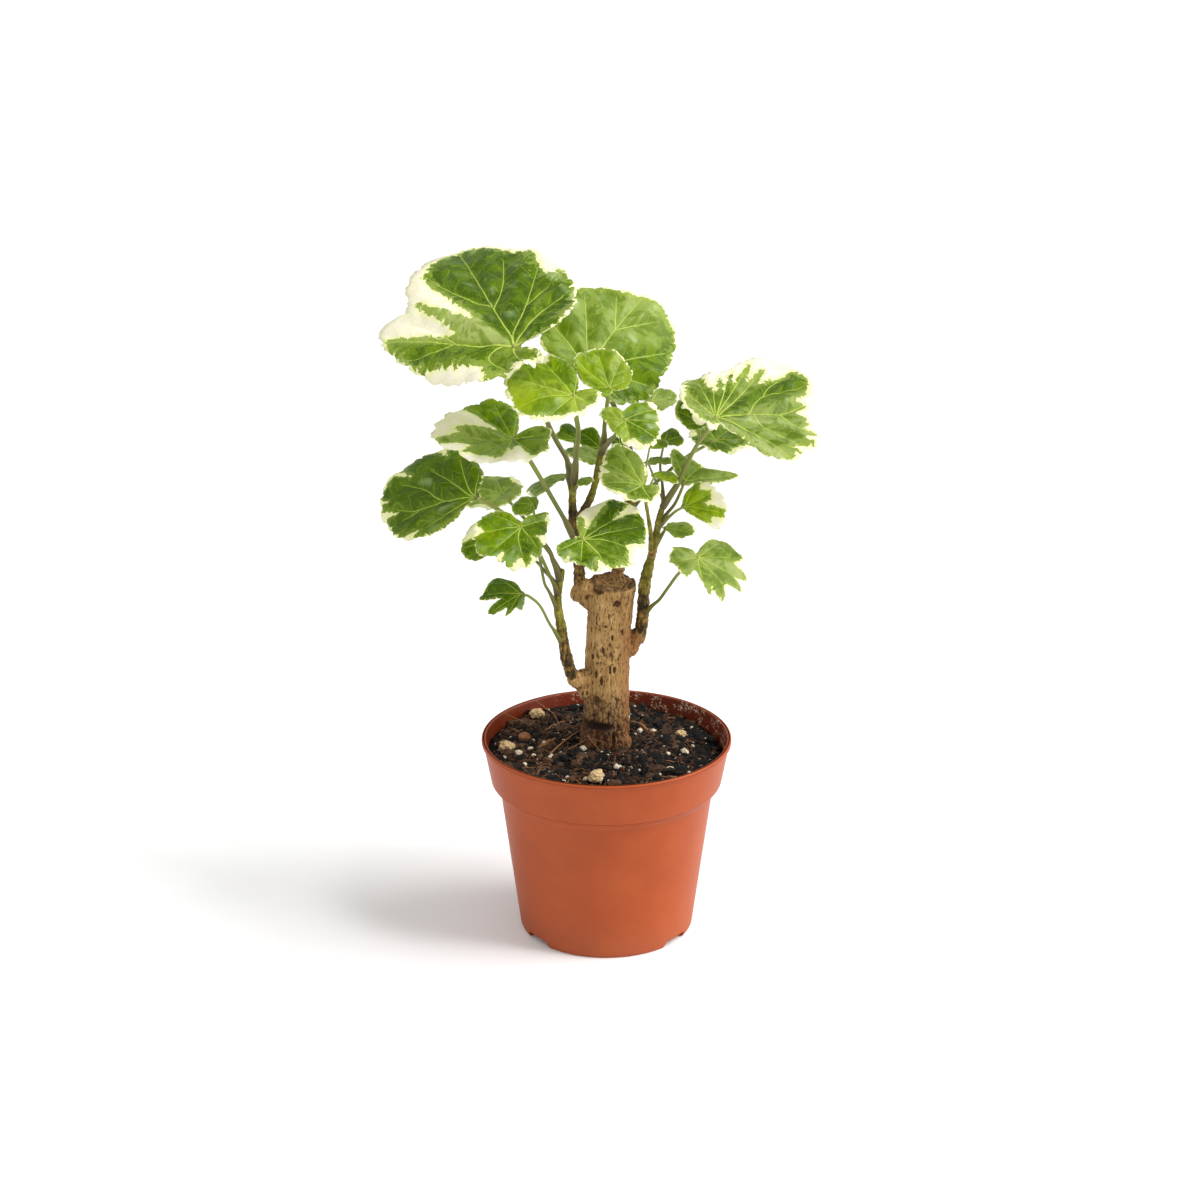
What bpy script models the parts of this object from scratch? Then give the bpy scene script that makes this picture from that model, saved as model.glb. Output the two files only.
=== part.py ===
"""Potted aralia: a variegated aralia grown from a cut cane, in a 12 cm plastic nursery pot.

The pot is a turned shell with a stepped collar and four drain channels moulded up into its
floor. It holds the soil, and the soil holds the foot of the cane. Shoots spring from collars
on the cane, and every leaf is a stalk and a blade grown as one piece.

Lengths in the tables are millimetres and become metres in mm(). The origin is the centre of
the pot's underside, on the surface it stands on. Z is up and -Y is the front.
"""
import math
from typing import NamedTuple

import bmesh
import bpy
from mathutils import Vector

# ---------------------------------------------------------------- driving dimensions, mm
POT_HEIGHT = 98.0
LIP_RADIUS = 60.0
LIP_HEIGHT = 2.0
LIP_SLOPE = 0.4
LIP_WIDTH = 2.1
COLLAR_TOP_RADIUS = 59.1
COLLAR_LOW_RADIUS = 55.5
COLLAR_LOW_Z = 76.6
COLLAR_CHAMFER = (0.7, 1.0)     # inwards, down
BODY_TOP_RADIUS = 51.4
BODY_TOP_Z = 73.0
BODY_LOW_RADIUS = 41.9
BODY_LOW_Z = 1.6
FOOT_RADIUS = 40.8
WALL = 1.2
FLOOR = 1.4
CHANNEL_AZIMUTHS = (-37.0, 37.0, 143.0, 217.0)
CHANNEL_HEIGHT = 3.6
CHANNEL_HALF_WIDTH = 9.4
CHANNEL_SLOPE = 2.2             # how far each side leans in at the top
CHANNEL_START = 16.0
DRAIN_HOLE_RADIUS = 3.0
DRAIN_HOLE_AT = 27.0
CUTTER_OVERRUN = 5.0            # how far a cutter passes the face it cuts

SOIL_CENTRE_Z = 95.6
SOIL_EDGE_Z = 89.2
SOIL_LUMP = 0.7
SOIL_TILT = 0.03
SOIL_RINGS = 6
SOIL_SPOKES = 40
LEVEL_RADIUS = 14.0             # no lumps inside this, where the cane stands
SOCKET_Z = 52.0

GAP = 0.3
WALL_GAP = 0.39                 # soil to pot, more than GAP because both are many-sided
BLADE = 0.6
STALK_SWELL = 1.15              # a stalk is this much wider at its foot
LEAST_REACH = 0.8               # the outline dips no lower between two points than this share
POT_SIDES = 72
CANE_SIDES = 6                  # bevel resolution of the cane, of a shoot and of a stalk
SHOOT_SIDES = 2
STALK_SIDES = 1
CHIP_SQUASH = 0.72
CHIP_SWELL = 0.12


class Leaf(NamedTuple):
    """A leaf: where its blade sits, how the blade lies, its outline and its stalk."""
    name: str
    joint: tuple        # where stalk and blade meet
    lie: tuple          # degrees: heading of the midrib from +X, its rise, the roll about it
    bend: float         # margin's lift, as a share of the longest reach
    outline: tuple      # (degrees from the midrib, reach) at each lobe tip, notch and turn
    shoot: str          # the shoot that it springs from
    height: float       # Z at which it leaves that shoot
    via: tuple          # points the stalk passes
    stalk: float        # stalk radius
    spokes: int = 24
    tint: str = "mid"


# path points with the radius there: (x, y, z, radius)
CANE = ((-1, 0, 52.4, 9), (-1, 0, 78, 11.2), (-1, 0, 96, 11.6), (0, 0, 108, 10.9),
        (0, 0, 128, 10.7), (1, 0, 150, 10.5), (2, 0, 165, 10.6), (3, 0, 177.5, 10.9))
# swellings of the cane that the shoots spring from: (x, y, z), (radii)
CANE_COLLARS = (((-9, -3, 126), (5.5, 5.5, 7)), ((10, 2, 144), (5, 5, 6)),
                ((-7, -1, 169), (6, 6, 5.5)))

SHOOTS = {
    "left_shoot": ((-15.2, -9.5, 131, 3.2), (-19, -13, 144, 2.9), (-21, -14, 158, 2.8),
                   (-23, -13, 172, 2.8), (-21, -11, 186, 2.4)),
    "centre_shoot": ((-12.5, -2, 176.4, 3.2), (-13, -2, 188, 2.9), (-15, -3, 204, 3),
                     (-16, -2, 218, 2.8), (-15, -2, 229, 2.1)),
    "crown_shoot": ((-9.3, 2.5, 214, 1.8), (-6, 4, 222, 1.9), (-3, 6, 236, 2.2),
                    (-1, 5, 245, 1.8)),
    "right_shoot": ((15.3, 2, 149, 3.2), (17, -1, 159, 3.1), (18, -3, 177, 3.1),
                    (22, -3, 195, 2.8), (25, -5, 212, 2.7), (27, -6, 219, 2.2)),
    "inner_shoot": ((20.5, -8.5, 196, 1.2), (20.5, -11, 204, 1.2), (19, -16, 216, 1.2),
                    (17, -26, 230, 1.1)),
    "back_shoot": ((5, 6, 178.6, 3.3), (7, 9, 189, 3.3), (10, 12, 201, 3.3), (11, 14, 211, 3.2),
                   (11, 16, 223, 2.6), (11, 18, 236, 2.1)),
}

LEAVES = (
    Leaf("crown_left_leaf", (-42, -15, 296), (120, 20, -20), -0.11,
         ((-165, 16), (-148, 17), (-136, 4), (-106, 4), (-90, 26), (-60, 51), (-30, 76), (-8, 90),
          (14, 73), (38, 71), (60, 56), (90, 37), (120, 26), (150, 18)),
         "centre_shoot", 227,
         ((-19, 2, 238), (-24, 5, 246), (-28, 5, 255), (-34, 4, 271), (-39, -2, 286)), 1.6, 32),
    Leaf("crown_back_leaf", (-9, 25, 274), (45, 30, 45), -0.10,
         ((-165, 6), (-135, 7), (-105, 20), (-75, 31), (-45, 40), (-15, 54), (20, 48), (50, 42),
          (80, 33), (105, 26), (122, 14), (150, 8)),
         "back_shoot", 235, ((7, 22, 248), (2, 24, 259), (-4, 25, 267)), 1.6, 28, "light"),
    Leaf("young_left_leaf", (-15, -32, 278), (175, 10, -25), -0.12,
         ((-165, 13), (-148, 13), (-115, 4), (-100, 8), (-75, 24), (-50, 33), (-20, 34), (15, 30),
          (45, 27), (75, 18), (105, 14), (140, 11), (170, 12)),
         "centre_shoot", 228, ((-14, -9, 243), (-13, -16, 255), (-14, -26, 267)), 1.5, 24, "young"),
    Leaf("young_round_leaf", (1, -20, 278), (110, 35, -5), 0.12,
         ((-180, 4), (-145, 3), (-110, 8), (-60, 15), (-25, 20), (10, 22), (35, 21), (60, 14),
          (95, 8), (150, 7)),
         "crown_shoot", 244, ((-1, -6, 256), (0, -14, 267)), 1.3, 20, "young"),
    Leaf("young_right_leaf", (8, -30, 266), (-20, -20, 25), -0.15,
         ((-170, 12), (-120, 9), (-75, 12), (-35, 18), (10, 18), (45, 18), (68, 20), (95, 13),
          (122, 5), (148, 10)),
         "crown_shoot", 240, ((4, -12, 253), (6, -23, 261)), 1.3, 20, "young"),
    Leaf("right_large_leaf", (50, -10, 261), (40, 0, 20), 0.06,
         ((-170, 11), (-138, 12), (-112, 8), (-95, 20), (-75, 43), (-50, 50), (-25, 50), (-5, 60),
          (15, 64), (30, 60), (44, 40), (75, 32), (105, 22), (145, 14)),
         "right_shoot", 217,
         ((32, -9, 227), (36, -10, 236), (41, -11, 247), (47, -11, 256)), 1.4, 28),
    Leaf("back_pale_leaf", (21, 25, 258), (25, 5, 25), -0.10,
         ((-180, 4), (-110, 6), (-45, 9), (10, 15), (35, 14), (65, 6), (120, 3)),
         "crown_shoot", 243, ((6, 16, 246), (16, 24, 253)), 0.9, 12, "light"),
    Leaf("back_dark_leaf", (44, 14, 251), (180, 30, -35), -0.10,
         ((-180, 3), (-100, 5), (-35, 15), (20, 12), (60, 8), (100, 4)),
         "right_shoot", 214, ((33, 6, 226), (41, 13, 241)), 0.9, 12),
    Leaf("right_fold_leaf", (27, 10, 243), (35, 10, 20), -0.10,
         ((-180, 2), (-100, 3), (-35, 9), (10, 11), (35, 12), (65, 6), (110, 2)),
         "right_shoot", 218, ((25, 4, 234),), 0.8, 12),
    Leaf("long_leaf", (37, 18, 221), (50, 15, 30), -0.05,
         ((-180, 4), (-66, 5), (-46, 14), (-30, 29), (-16, 20), (0, 15), (30, 16), (56, 21),
          (80, 9), (110, 4)),
         "right_shoot", 207, ((32, 5, 214), (35, 12, 218)), 1.0, 24, "light"),
    Leaf("left_mid_leaf", (-43, -15, 252), (150, 10, -10), 0.05,
         ((-165, 18), (-135, 18), (-110, 20), (-96, 7), (-78, 5), (-62, 25), (-45, 33), (0, 34),
          (40, 38), (65, 31), (105, 25), (150, 20)),
         "centre_shoot", 199,
         ((-21, -10, 214), (-25, -12, 222), (-30, -14, 232), (-36, -16, 243)), 1.4, 28),
    Leaf("left_dark_leaf", (-61, -8, 222), (155, 0, -35), -0.10,
         ((-180, 3), (-100, 3), (-84, 14), (-65, 24), (-45, 37), (-20, 46), (5, 50), (30, 45),
          (50, 38), (64, 26), (78, 6), (120, 3)),
         "left_shoot", 183, ((-27, -16, 198), (-36, -15, 208), (-49, -12, 216)), 1.3, 24, "dark"),
    Leaf("lower_left_leaf", (-39, -36, 217), (-115, -25, -20), -0.10,
         ((-165, 3), (-135, 4), (-105, 14), (-75, 20), (-30, 25), (0, 23), (25, 25), (50, 19),
          (80, 14), (120, 13), (152, 16), (172, 9)),
         "left_shoot", 176, ((-27, -21, 189), (-31, -28, 201), (-36, -34, 211)), 1.1, 24, "young"),
    Leaf("upper_small_leaf", (-34, -14, 220), (-165, -15, -20), -0.10,
         ((-180, 3), (-110, 6), (-50, 10), (10, 10), (60, 6), (120, 3)),
         "left_shoot", 168, ((-29, -20, 184), (-31, -20, 196), (-33, -16, 210)), 0.9, 12),
    Leaf("left_small_leaf", (-56, -4, 199), (-155, -10, -60), -0.10,
         ((-180, 2), (-120, 4), (-90, 9), (-30, 11), (15, 14), (45, 11), (90, 5)),
         "left_shoot", 179, ((-34, -6, 190), (-45, -4, 195)), 0.9, 12, "dark"),
    Leaf("front_leaf", (-11, -48, 215), (5, -5, 25), -0.12,
         ((-180, 5), (-160, 13), (-130, 16), (-90, 18), (-60, 21), (-30, 26), (0, 30), (25, 34),
          (45, 38), (62, 35), (80, 25), (98, 15), (115, 4), (150, 3)),
         "centre_shoot", 190, ((-12, -23, 198), (-11, -39, 207)), 1.4, 28),
    Leaf("middle_leaf", (16, -32, 235), (150, 25, -15), -0.10,
         ((-165, 9), (-138, 9), (-115, 3), (-85, 5), (-62, 15), (-45, 26), (-30, 30), (0, 23),
          (35, 20), (70, 15), (110, 11), (160, 10)),
         "inner_shoot", 227, ((17, -31, 232),), 0.8, 24, "light"),
    Leaf("low_left_leaf", (-40, -22, 179), (-160, -20, -25), -0.15,
         ((-180, 2), (-115, 3), (-92, 10), (-75, 18), (-45, 19), (-30, 20), (-18, 10), (0, 18),
          (10, 17), (18, 10), (33, 14), (46, 9), (66, 9), (100, 4)),
         "left_shoot", 150, ((-27, -20, 164), (-31, -22, 173), (-36, -23, 178)), 0.9, 24, "dark"),
    Leaf("low_right_leaf", (42, -22, 197), (-30, -30, 10), -0.12,
         ((-178, 8), (-150, 13), (-100, 15), (-76, 15), (-62, 10), (-42, 20), (-10, 24), (30, 26),
          (75, 26), (92, 22), (108, 11), (125, 4), (160, 3)),
         "right_shoot", 161, ((25, -10, 172), (29, -15, 180), (34, -20, 189)), 1.0, 24, "light"),
    Leaf("right_small_leaf", (36, -8, 217), (15, 0, 40), -0.08,
         ((-180, 2), (-95, 2), (-60, 8), (-42, 19), (-10, 21), (30, 21), (55, 16), (80, 6),
          (110, 2)),
         "right_shoot", 206, ((32, -9, 215),), 0.9, 20, "young"),
    Leaf("right_tiny_leaf", (28, 2, 203), (-5, -5, 20), -0.10,
         ((-180, 2), (-80, 2), (-35, 10), (5, 14), (35, 12), (60, 7), (95, 2)),
         "right_shoot", 195, (), 0.9, 12, "light"),
    Leaf("back_near_leaf", (-14, 22, 240), (150, 20, -15), -0.10,
         ((-180, 2), (-70, 3), (-40, 14), (0, 11), (30, 12), (55, 5), (110, 3)),
         "centre_shoot", 224, ((-15, 5, 235), (-15, 14, 239)), 0.9, 12),
    Leaf("back_mid_leaf", (-3, 32, 233), (145, 30, -30), -0.10,
         ((-180, 2), (-60, 2), (-35, 11), (0, 14), (30, 11), (55, 5), (90, 2)),
         "crown_shoot", 220, ((-5, 21, 224), (-4, 29, 229)), 0.9, 12, "dark"),
    Leaf("back_low_leaf", (2, 14, 231), (170, 15, 0), -0.05,
         ((-180, 2), (-85, 4), (-65, 14), (-30, 20), (0, 25), (22, 19), (45, 9), (90, 5)),
         "back_shoot", 218, (), 0.9, 20, "light"),
    Leaf("fold_leaf", (-19, 5, 228), (180, -25, 0), -0.05,
         ((-180, 2), (-75, 4), (-50, 12), (-30, 24), (-5, 20), (20, 20), (40, 19), (60, 8),
          (95, 2)),
         "centre_shoot", 222, (), 1.0, 24, "light"),
    Leaf("fold_tiny_leaf", (-12, -7, 229), (-10, 5, 15), -0.10,
         ((-180, 2), (-60, 4), (0, 6), (50, 6), (100, 3)),
         "centre_shoot", 223, (), 0.7, 12, "light"),
    Leaf("tip_front_leaf", (22, -14, 234), (5, -15, 20), -0.10,
         ((-180, 2), (-50, 2), (-20, 8), (15, 13), (45, 10), (75, 3)),
         "inner_shoot", 226, (), 0.7, 12, "young"),
    Leaf("tip_back_leaf", (19, -3, 237), (0, 5, 5), -0.10,
         ((-180, 2), (-60, 3), (-15, 10), (20, 12), (55, 9), (80, 3)),
         "right_shoot", 218.5, (), 0.7, 12, "light"),
    Leaf("tip_high_leaf", (20, -6, 246), (10, 5, 15), -0.10,
         ((-180, 2), (-75, 3), (-20, 8), (30, 9), (60, 6), (95, 2)),
         "inner_shoot", 229.5, ((18, -17, 239),), 0.7, 12, "young"),
    Leaf("dark_bit_leaf", (6, 2, 244), (140, 30, -30), -0.10,
         ((-180, 2), (-80, 3), (-20, 5), (40, 4), (110, 2)),
         "crown_shoot", 237, (), 0.7, 12, "dark"),
    Leaf("rear_low_leaf", (0, 38, 192), (110, 5, 0), -0.12,
         ((-180, 9), (-140, 10), (-95, 14), (-50, 20), (0, 24), (50, 20), (95, 14), (140, 10)),
         "back_shoot", 190, ((5, 22, 193),), 1.1, 20),
    Leaf("rear_left_leaf", (-50, 38, 208), (145, 5, -15), -0.12,
         ((-180, 9), (-140, 10), (-95, 14), (-50, 19), (0, 22), (50, 19), (95, 14), (140, 10)),
         "left_shoot", 184.5, ((-28, 4, 193), (-40, 22, 202)), 1.1, 20, "light"),
    Leaf("rear_right_leaf", (52, 46, 232), (60, 10, 10), -0.12,
         ((-180, 9), (-140, 10), (-95, 14), (-50, 20), (0, 23), (50, 20), (95, 14), (140, 10)),
         "back_shoot", 208, ((24, 26, 218), (38, 36, 227)), 1.1, 20),
)

# stones and clay lumps on the soil: (x, y, size), height found from the soil
CHIPS = {
    "pumice_left": (-47.5, -5, 3.2), "pumice_front": (-4.5, -40, 3.8),
    "pumice_back": (-34, 35, 3.2), "clay_left": (-39.5, 6, 2.4), "pumice_right": (36, 12, 2.2),
}

COLOURS = {
    "terracotta_plastic": (0.46, 0.12, 0.05), "soil": (0.015, 0.011, 0.008),
    "bark": (0.23, 0.12, 0.06), "stem": (0.10, 0.075, 0.03), "pumice": (0.55, 0.48, 0.33),
    "leaf_mid": (0.10, 0.22, 0.04), "leaf_dark": (0.04, 0.11, 0.02),
    "leaf_light": (0.22, 0.34, 0.10), "leaf_young": (0.27, 0.42, 0.03),
}
ROUGHNESS = {"soil": 0.95, "bark": 0.85, "pumice": 0.9, "terracotta_plastic": 0.42}
LEAF_ROUGHNESS = 0.35


def mm(*values):
    """Millimetres to a vector in metres."""
    return Vector(values) * 0.001


def start_scene():
    """Empty the scene and make one collection for the plant and one for its cutters."""
    for old in list(bpy.data.objects):
        bpy.data.objects.remove(old)
    made = []
    for name in ("potted_aralia", "cutters"):
        collection = bpy.data.collections.new(name)
        bpy.context.scene.collection.children.link(collection)
        made.append(collection)
    return made


PLANT, CUTTERS = start_scene()


def material(name):
    """The Principled material of one finish, made once."""
    found = bpy.data.materials.get(name)
    if found:
        return found
    made = bpy.data.materials.new(name)
    made.use_nodes = True
    shader = made.node_tree.nodes["Principled BSDF"]
    shader.inputs["Base Color"].default_value = (*COLOURS[name], 1.0)
    shader.inputs["Roughness"].default_value = ROUGHNESS.get(name, LEAF_ROUGHNESS)
    shader.inputs["Metallic"].default_value = 0.0
    return made


def add_object(name, data, finish=None):
    """Link an object to the plant, or to the cutters when it has no finish."""
    obj = bpy.data.objects.new(name, data)
    if finish:
        PLANT.objects.link(obj)
        data.materials.append(material(finish))
    else:
        CUTTERS.objects.link(obj)
        obj.hide_render = True
        obj.display_type = "WIRE"
    return obj


def mesh_object(name, bm, finish=None, smooth=35.0):
    """Turn a bmesh into an object, with outward normals."""
    bmesh.ops.recalc_face_normals(bm, faces=bm.faces)
    mesh = bpy.data.meshes.new(name)
    bm.to_mesh(mesh)
    bm.free()
    mesh.shade_smooth()
    mesh.set_sharp_from_angle(angle=math.radians(smooth))
    return add_object(name, mesh, finish)


def fan(spokes, rings):
    """A flat disc of radius 1 with a centre point, spokes and evenly spaced rings."""
    bm = bmesh.new()
    bmesh.ops.create_circle(bm, cap_ends=True, cap_tris=True, segments=spokes, radius=1.0)
    hub = min(bm.verts, key=lambda vert: vert.co.length)
    bmesh.ops.subdivide_edges(bm, edges=list(hub.link_edges), cuts=rings - 1)
    return bm


def boolean(obj, cutter, operation):
    """Add an exact Boolean modifier."""
    modifier = obj.modifiers.new(cutter.name, "BOOLEAN")
    modifier.operation = operation
    modifier.solver = "EXACT"
    modifier.object = cutter


def turned(name, profile, sides, finish=None):
    """Spin a closed profile of (radius, z) about Z with a Screw modifier."""
    mesh = bpy.data.meshes.new(name)
    points = [mm(radius, 0, z) for radius, z in profile]
    mesh.from_pydata(points, [(i, i + 1) for i in range(len(points) - 1)], [])
    obj = add_object(name, mesh, finish)
    screw = obj.modifiers.new("turn", "SCREW")
    screw.steps = sides
    screw.render_steps = sides
    screw.use_merge_vertices = True
    screw.merge_threshold = 0.00001
    screw.use_smooth_shade = True
    return obj


def as_mesh(obj):
    """Replace a curve or a modified object by a plain welded mesh object."""
    evaluated = obj.evaluated_get(bpy.context.evaluated_depsgraph_get())
    mesh = bpy.data.meshes.new_from_object(evaluated)
    bm = bmesh.new()
    bm.from_mesh(mesh)
    bmesh.ops.remove_doubles(bm, verts=bm.verts, dist=0.00001)
    bmesh.ops.recalc_face_normals(bm, faces=bm.faces)
    bm.to_mesh(mesh)
    bm.free()
    return mesh


def smooth_path(points, steps):
    """Points along a Catmull-Rom curve through rows of numbers (place, and radius if given)."""
    rows = [Vector(p).resized(4) if len(p) == 3 else Vector(p) for p in points]
    ends = [rows[0] * 2 - rows[1], *rows, rows[-1] * 2 - rows[-2]]
    path = []
    for before, start, stop, after in zip(ends, ends[1:], ends[2:], ends[3:]):
        for i in range(steps):
            t = i / steps
            path.append(0.5 * ((2 * start) + (stop - before) * t
                               + (2 * before - 5 * start + 4 * stop - after) * t * t
                               + (3 * start - before - 3 * stop + after) * t ** 3))
    path.append(rows[-1])
    return path


def tube_mesh(name, rows, resolution, steps):
    """A capped tube along rows of (x, y, z, radius), as a welded mesh."""
    path = smooth_path(rows, steps)
    curve = bpy.data.curves.new(name, "CURVE")
    curve.dimensions = "3D"
    curve.bevel_depth = 0.001
    curve.bevel_resolution = resolution
    curve.use_fill_caps = True
    spline = curve.splines.new("POLY")
    spline.points.add(len(path) - 1)
    for point, row in zip(spline.points, path):
        point.co = (*mm(*row[:3]), 1.0)
        point.radius = row[3]
    guide = add_object(name + "_path", curve)
    bpy.context.view_layer.update()
    mesh = as_mesh(guide)
    bpy.data.objects.remove(guide)
    return mesh


def on_shoot(name, height):
    """The place, direction and radius of a shoot's axis at a height."""
    path = smooth_path(SHOOTS[name], 4)
    for low, high in zip(path, path[1:]):
        if height <= high[2]:
            break
    share = min(1.0, max(0.0, (height - low[2]) / (high[2] - low[2])))
    here = low.lerp(high, share)
    along = (high - low).resized(3).normalized()
    return here.resized(3), along, here[3]


def stalk_rows(leaf):
    """A stalk's rows, starting just clear of the skin of the shoot that it springs from."""
    centre, along, radius = on_shoot(leaf.shoot, leaf.height)
    aim = Vector(leaf.via[0] if leaf.via else leaf.joint)
    towards = (aim - centre).normalized()
    across = max(0.25, math.sqrt(max(0.0, 1.0 - towards.dot(along) ** 2)))
    clear = (radius + GAP + leaf.stalk * abs(towards.dot(along))) / across
    start = centre + towards * clear
    rows = [(*start, leaf.stalk * STALK_SWELL)]
    rows += [(*point, leaf.stalk) for point in leaf.via]
    rows.append((*leaf.joint, leaf.stalk))
    return rows


def leaf_axes(lie):
    """Unit vectors along the midrib, across the blade, and out of its upper side."""
    heading, rise, roll = (math.radians(angle) for angle in lie)
    level_run = math.cos(rise)
    midrib = Vector((level_run * math.cos(heading), level_run * math.sin(heading), math.sin(rise)))
    level = (Vector((0, 0, 1)) - midrib * midrib.z).normalized()
    up = level * math.cos(roll) + midrib.cross(level) * math.sin(roll)
    return midrib, up.cross(midrib), up


def reach_at(outline, angle):
    """The outline's reach at an angle, on a smooth closed curve through its points."""
    around = [(a + 360.0 * lap, reach) for lap in range(3) for a, reach in outline]
    first = outline[0][0]
    turn = first + 360.0 + (angle - first) % 360.0
    i = max(k for k, (a, _) in enumerate(around) if a <= turn)
    (a0, r0), (a1, r1), (a2, r2), (a3, r3) = around[i - 1:i + 3]
    width = a2 - a1
    t = (turn - a1) / width
    slope_in = (r2 - r0) / (a2 - a0) * width
    slope_out = (r3 - r1) / (a3 - a1) * width
    reach = ((2 * t ** 3 - 3 * t * t + 1) * r1 + (t ** 3 - 2 * t * t + t) * slope_in
             + (3 * t * t - 2 * t ** 3) * r2 + (t ** 3 - t * t) * slope_out)
    return max(reach, LEAST_REACH * min(r1, r2))


def blade_point(leaf, axes, longest, angle, share):
    """A point of the blade's middle surface, at a share of the reach at an angle."""
    midrib, across, up = axes
    turn = math.radians(angle)
    reach = reach_at(leaf.outline, angle) * share
    flat = midrib * (math.cos(turn) * reach) + across * (math.sin(turn) * reach)
    return Vector(leaf.joint) + flat + up * (leaf.bend * reach * reach / longest)


def make_leaf(leaf):
    """A blade of even thickness, joined to its stalk."""
    axes = leaf_axes(leaf.lie)
    longest = max(reach for _, reach in leaf.outline)
    bm = fan(leaf.spokes, 2)
    for vert in bm.verts:
        angle = math.degrees(math.atan2(vert.co.y, vert.co.x))
        vert.co = blade_point(leaf, axes, longest, angle, min(1.0, vert.co.length)) * 0.001
    for face in bm.faces:
        if face.normal.dot(axes[2]) < 0:
            face.normal_flip()
    mesh = bpy.data.meshes.new(leaf.name)
    bm.to_mesh(mesh)
    bm.free()
    obj = add_object(leaf.name, mesh, "leaf_" + leaf.tint)
    solid = obj.modifiers.new("thickness", "SOLIDIFY")
    solid.thickness = BLADE * 0.001
    solid.offset = 0.0
    tube = tube_mesh(leaf.name + "_stalk", stalk_rows(leaf), STALK_SIDES, 2)
    boolean(obj, add_object(tube.name, tube), "UNION")


def wedge(name, grow):
    """A channel block along +X with sloping sides, grown by a margin."""
    top = CHANNEL_HEIGHT + grow
    half = CHANNEL_HALF_WIDTH + grow
    bm = bmesh.new()
    bmesh.ops.create_cube(bm, size=1.0)
    for vert in bm.verts:
        high = vert.co.z > 0
        side = half - CHANNEL_SLOPE if high else half
        x = LIP_RADIUS if vert.co.x > 0 else CHANNEL_START - grow
        vert.co = mm(x, side * math.copysign(1, vert.co.y), top if high else -CUTTER_OVERRUN)
    return mesh_object(name, bm)


def place_turned(obj, azimuth):
    """Turn a cutter about Z to its azimuth, where -90 is the front."""
    obj.rotation_euler = (0, 0, math.radians(azimuth))


def pot_bore(name, shrink):
    """A solid of the pot's inside, drawn in by a margin."""
    above = POT_HEIGHT + CUTTER_OVERRUN
    mouth = LIP_RADIUS - LIP_WIDTH - shrink
    inner = [(0, above), (mouth, above), (mouth, POT_HEIGHT),
             (COLLAR_LOW_RADIUS - WALL - shrink, COLLAR_LOW_Z),
             (BODY_TOP_RADIUS - WALL - shrink, BODY_TOP_Z),
             (BODY_LOW_RADIUS - WALL - shrink, BODY_LOW_Z + FLOOR + shrink), (0, FLOOR + shrink)]
    return turned(name, inner, POT_SIDES)


def drain_hole(pot, azimuth):
    """Cut one round hole through a channel's roof."""
    bm = bmesh.new()
    radius = DRAIN_HOLE_RADIUS * 0.001
    bmesh.ops.create_cone(bm, cap_ends=True, segments=16, radius1=radius, radius2=radius,
                          depth=0.004 * CUTTER_OVERRUN)
    hole = mesh_object("drain_hole_%d" % azimuth, bm)
    turn = math.radians(azimuth)
    hole.location = mm(math.cos(turn) * DRAIN_HOLE_AT, math.sin(turn) * DRAIN_HOLE_AT, 0)
    boolean(pot, hole, "DIFFERENCE")


def make_pot():
    """The turned shell, with four drain channels raised in its floor."""
    inwards, down = COLLAR_CHAMFER
    outer = [(0, POT_HEIGHT), (LIP_RADIUS, POT_HEIGHT), (LIP_RADIUS, POT_HEIGHT - LIP_HEIGHT),
             (COLLAR_TOP_RADIUS, POT_HEIGHT - LIP_HEIGHT - LIP_SLOPE),
             (COLLAR_LOW_RADIUS, COLLAR_LOW_Z),
             (COLLAR_LOW_RADIUS - inwards, COLLAR_LOW_Z - down), (BODY_TOP_RADIUS, BODY_TOP_Z),
             (BODY_LOW_RADIUS, BODY_LOW_Z), (FOOT_RADIUS, 0), (0, 0)]
    pot = turned("pot", outer, POT_SIDES, "terracotta_plastic")
    bore = pot_bore("pot_inside", 0.0)
    for azimuth in CHANNEL_AZIMUTHS:
        roof = wedge("channel_roof_%d" % azimuth, WALL)
        place_turned(roof, azimuth)
        boolean(bore, roof, "DIFFERENCE")
    boolean(pot, bore, "DIFFERENCE")
    for azimuth in CHANNEL_AZIMUTHS:
        channel = wedge("channel_%d" % azimuth, 0.0)
        place_turned(channel, azimuth)
        boolean(pot, channel, "DIFFERENCE")
        drain_hole(pot, azimuth)


def soil_height(x, y):
    """The mounded soil's surface, with low lumps that die out at the cane and the wall."""
    radius = math.hypot(x, y)
    share = min(1.0, radius / (LIP_RADIUS - LIP_WIDTH))
    mound = SOIL_CENTRE_Z + (SOIL_EDGE_Z - SOIL_CENTRE_Z) * share ** 1.6
    lump = math.sin(0.21 * x + 1.3) * math.cos(0.17 * y - 0.4)
    lump += 0.6 * math.sin(0.11 * x - 0.29 * y)
    tilt = (y - x) * SOIL_TILT * share
    between = (radius - LEVEL_RADIUS) / (LIP_RADIUS - LIP_WIDTH - LEVEL_RADIUS)
    return mound + tilt + SOIL_LUMP * lump * math.sin(math.pi * min(1.0, max(0.0, between)))


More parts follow.
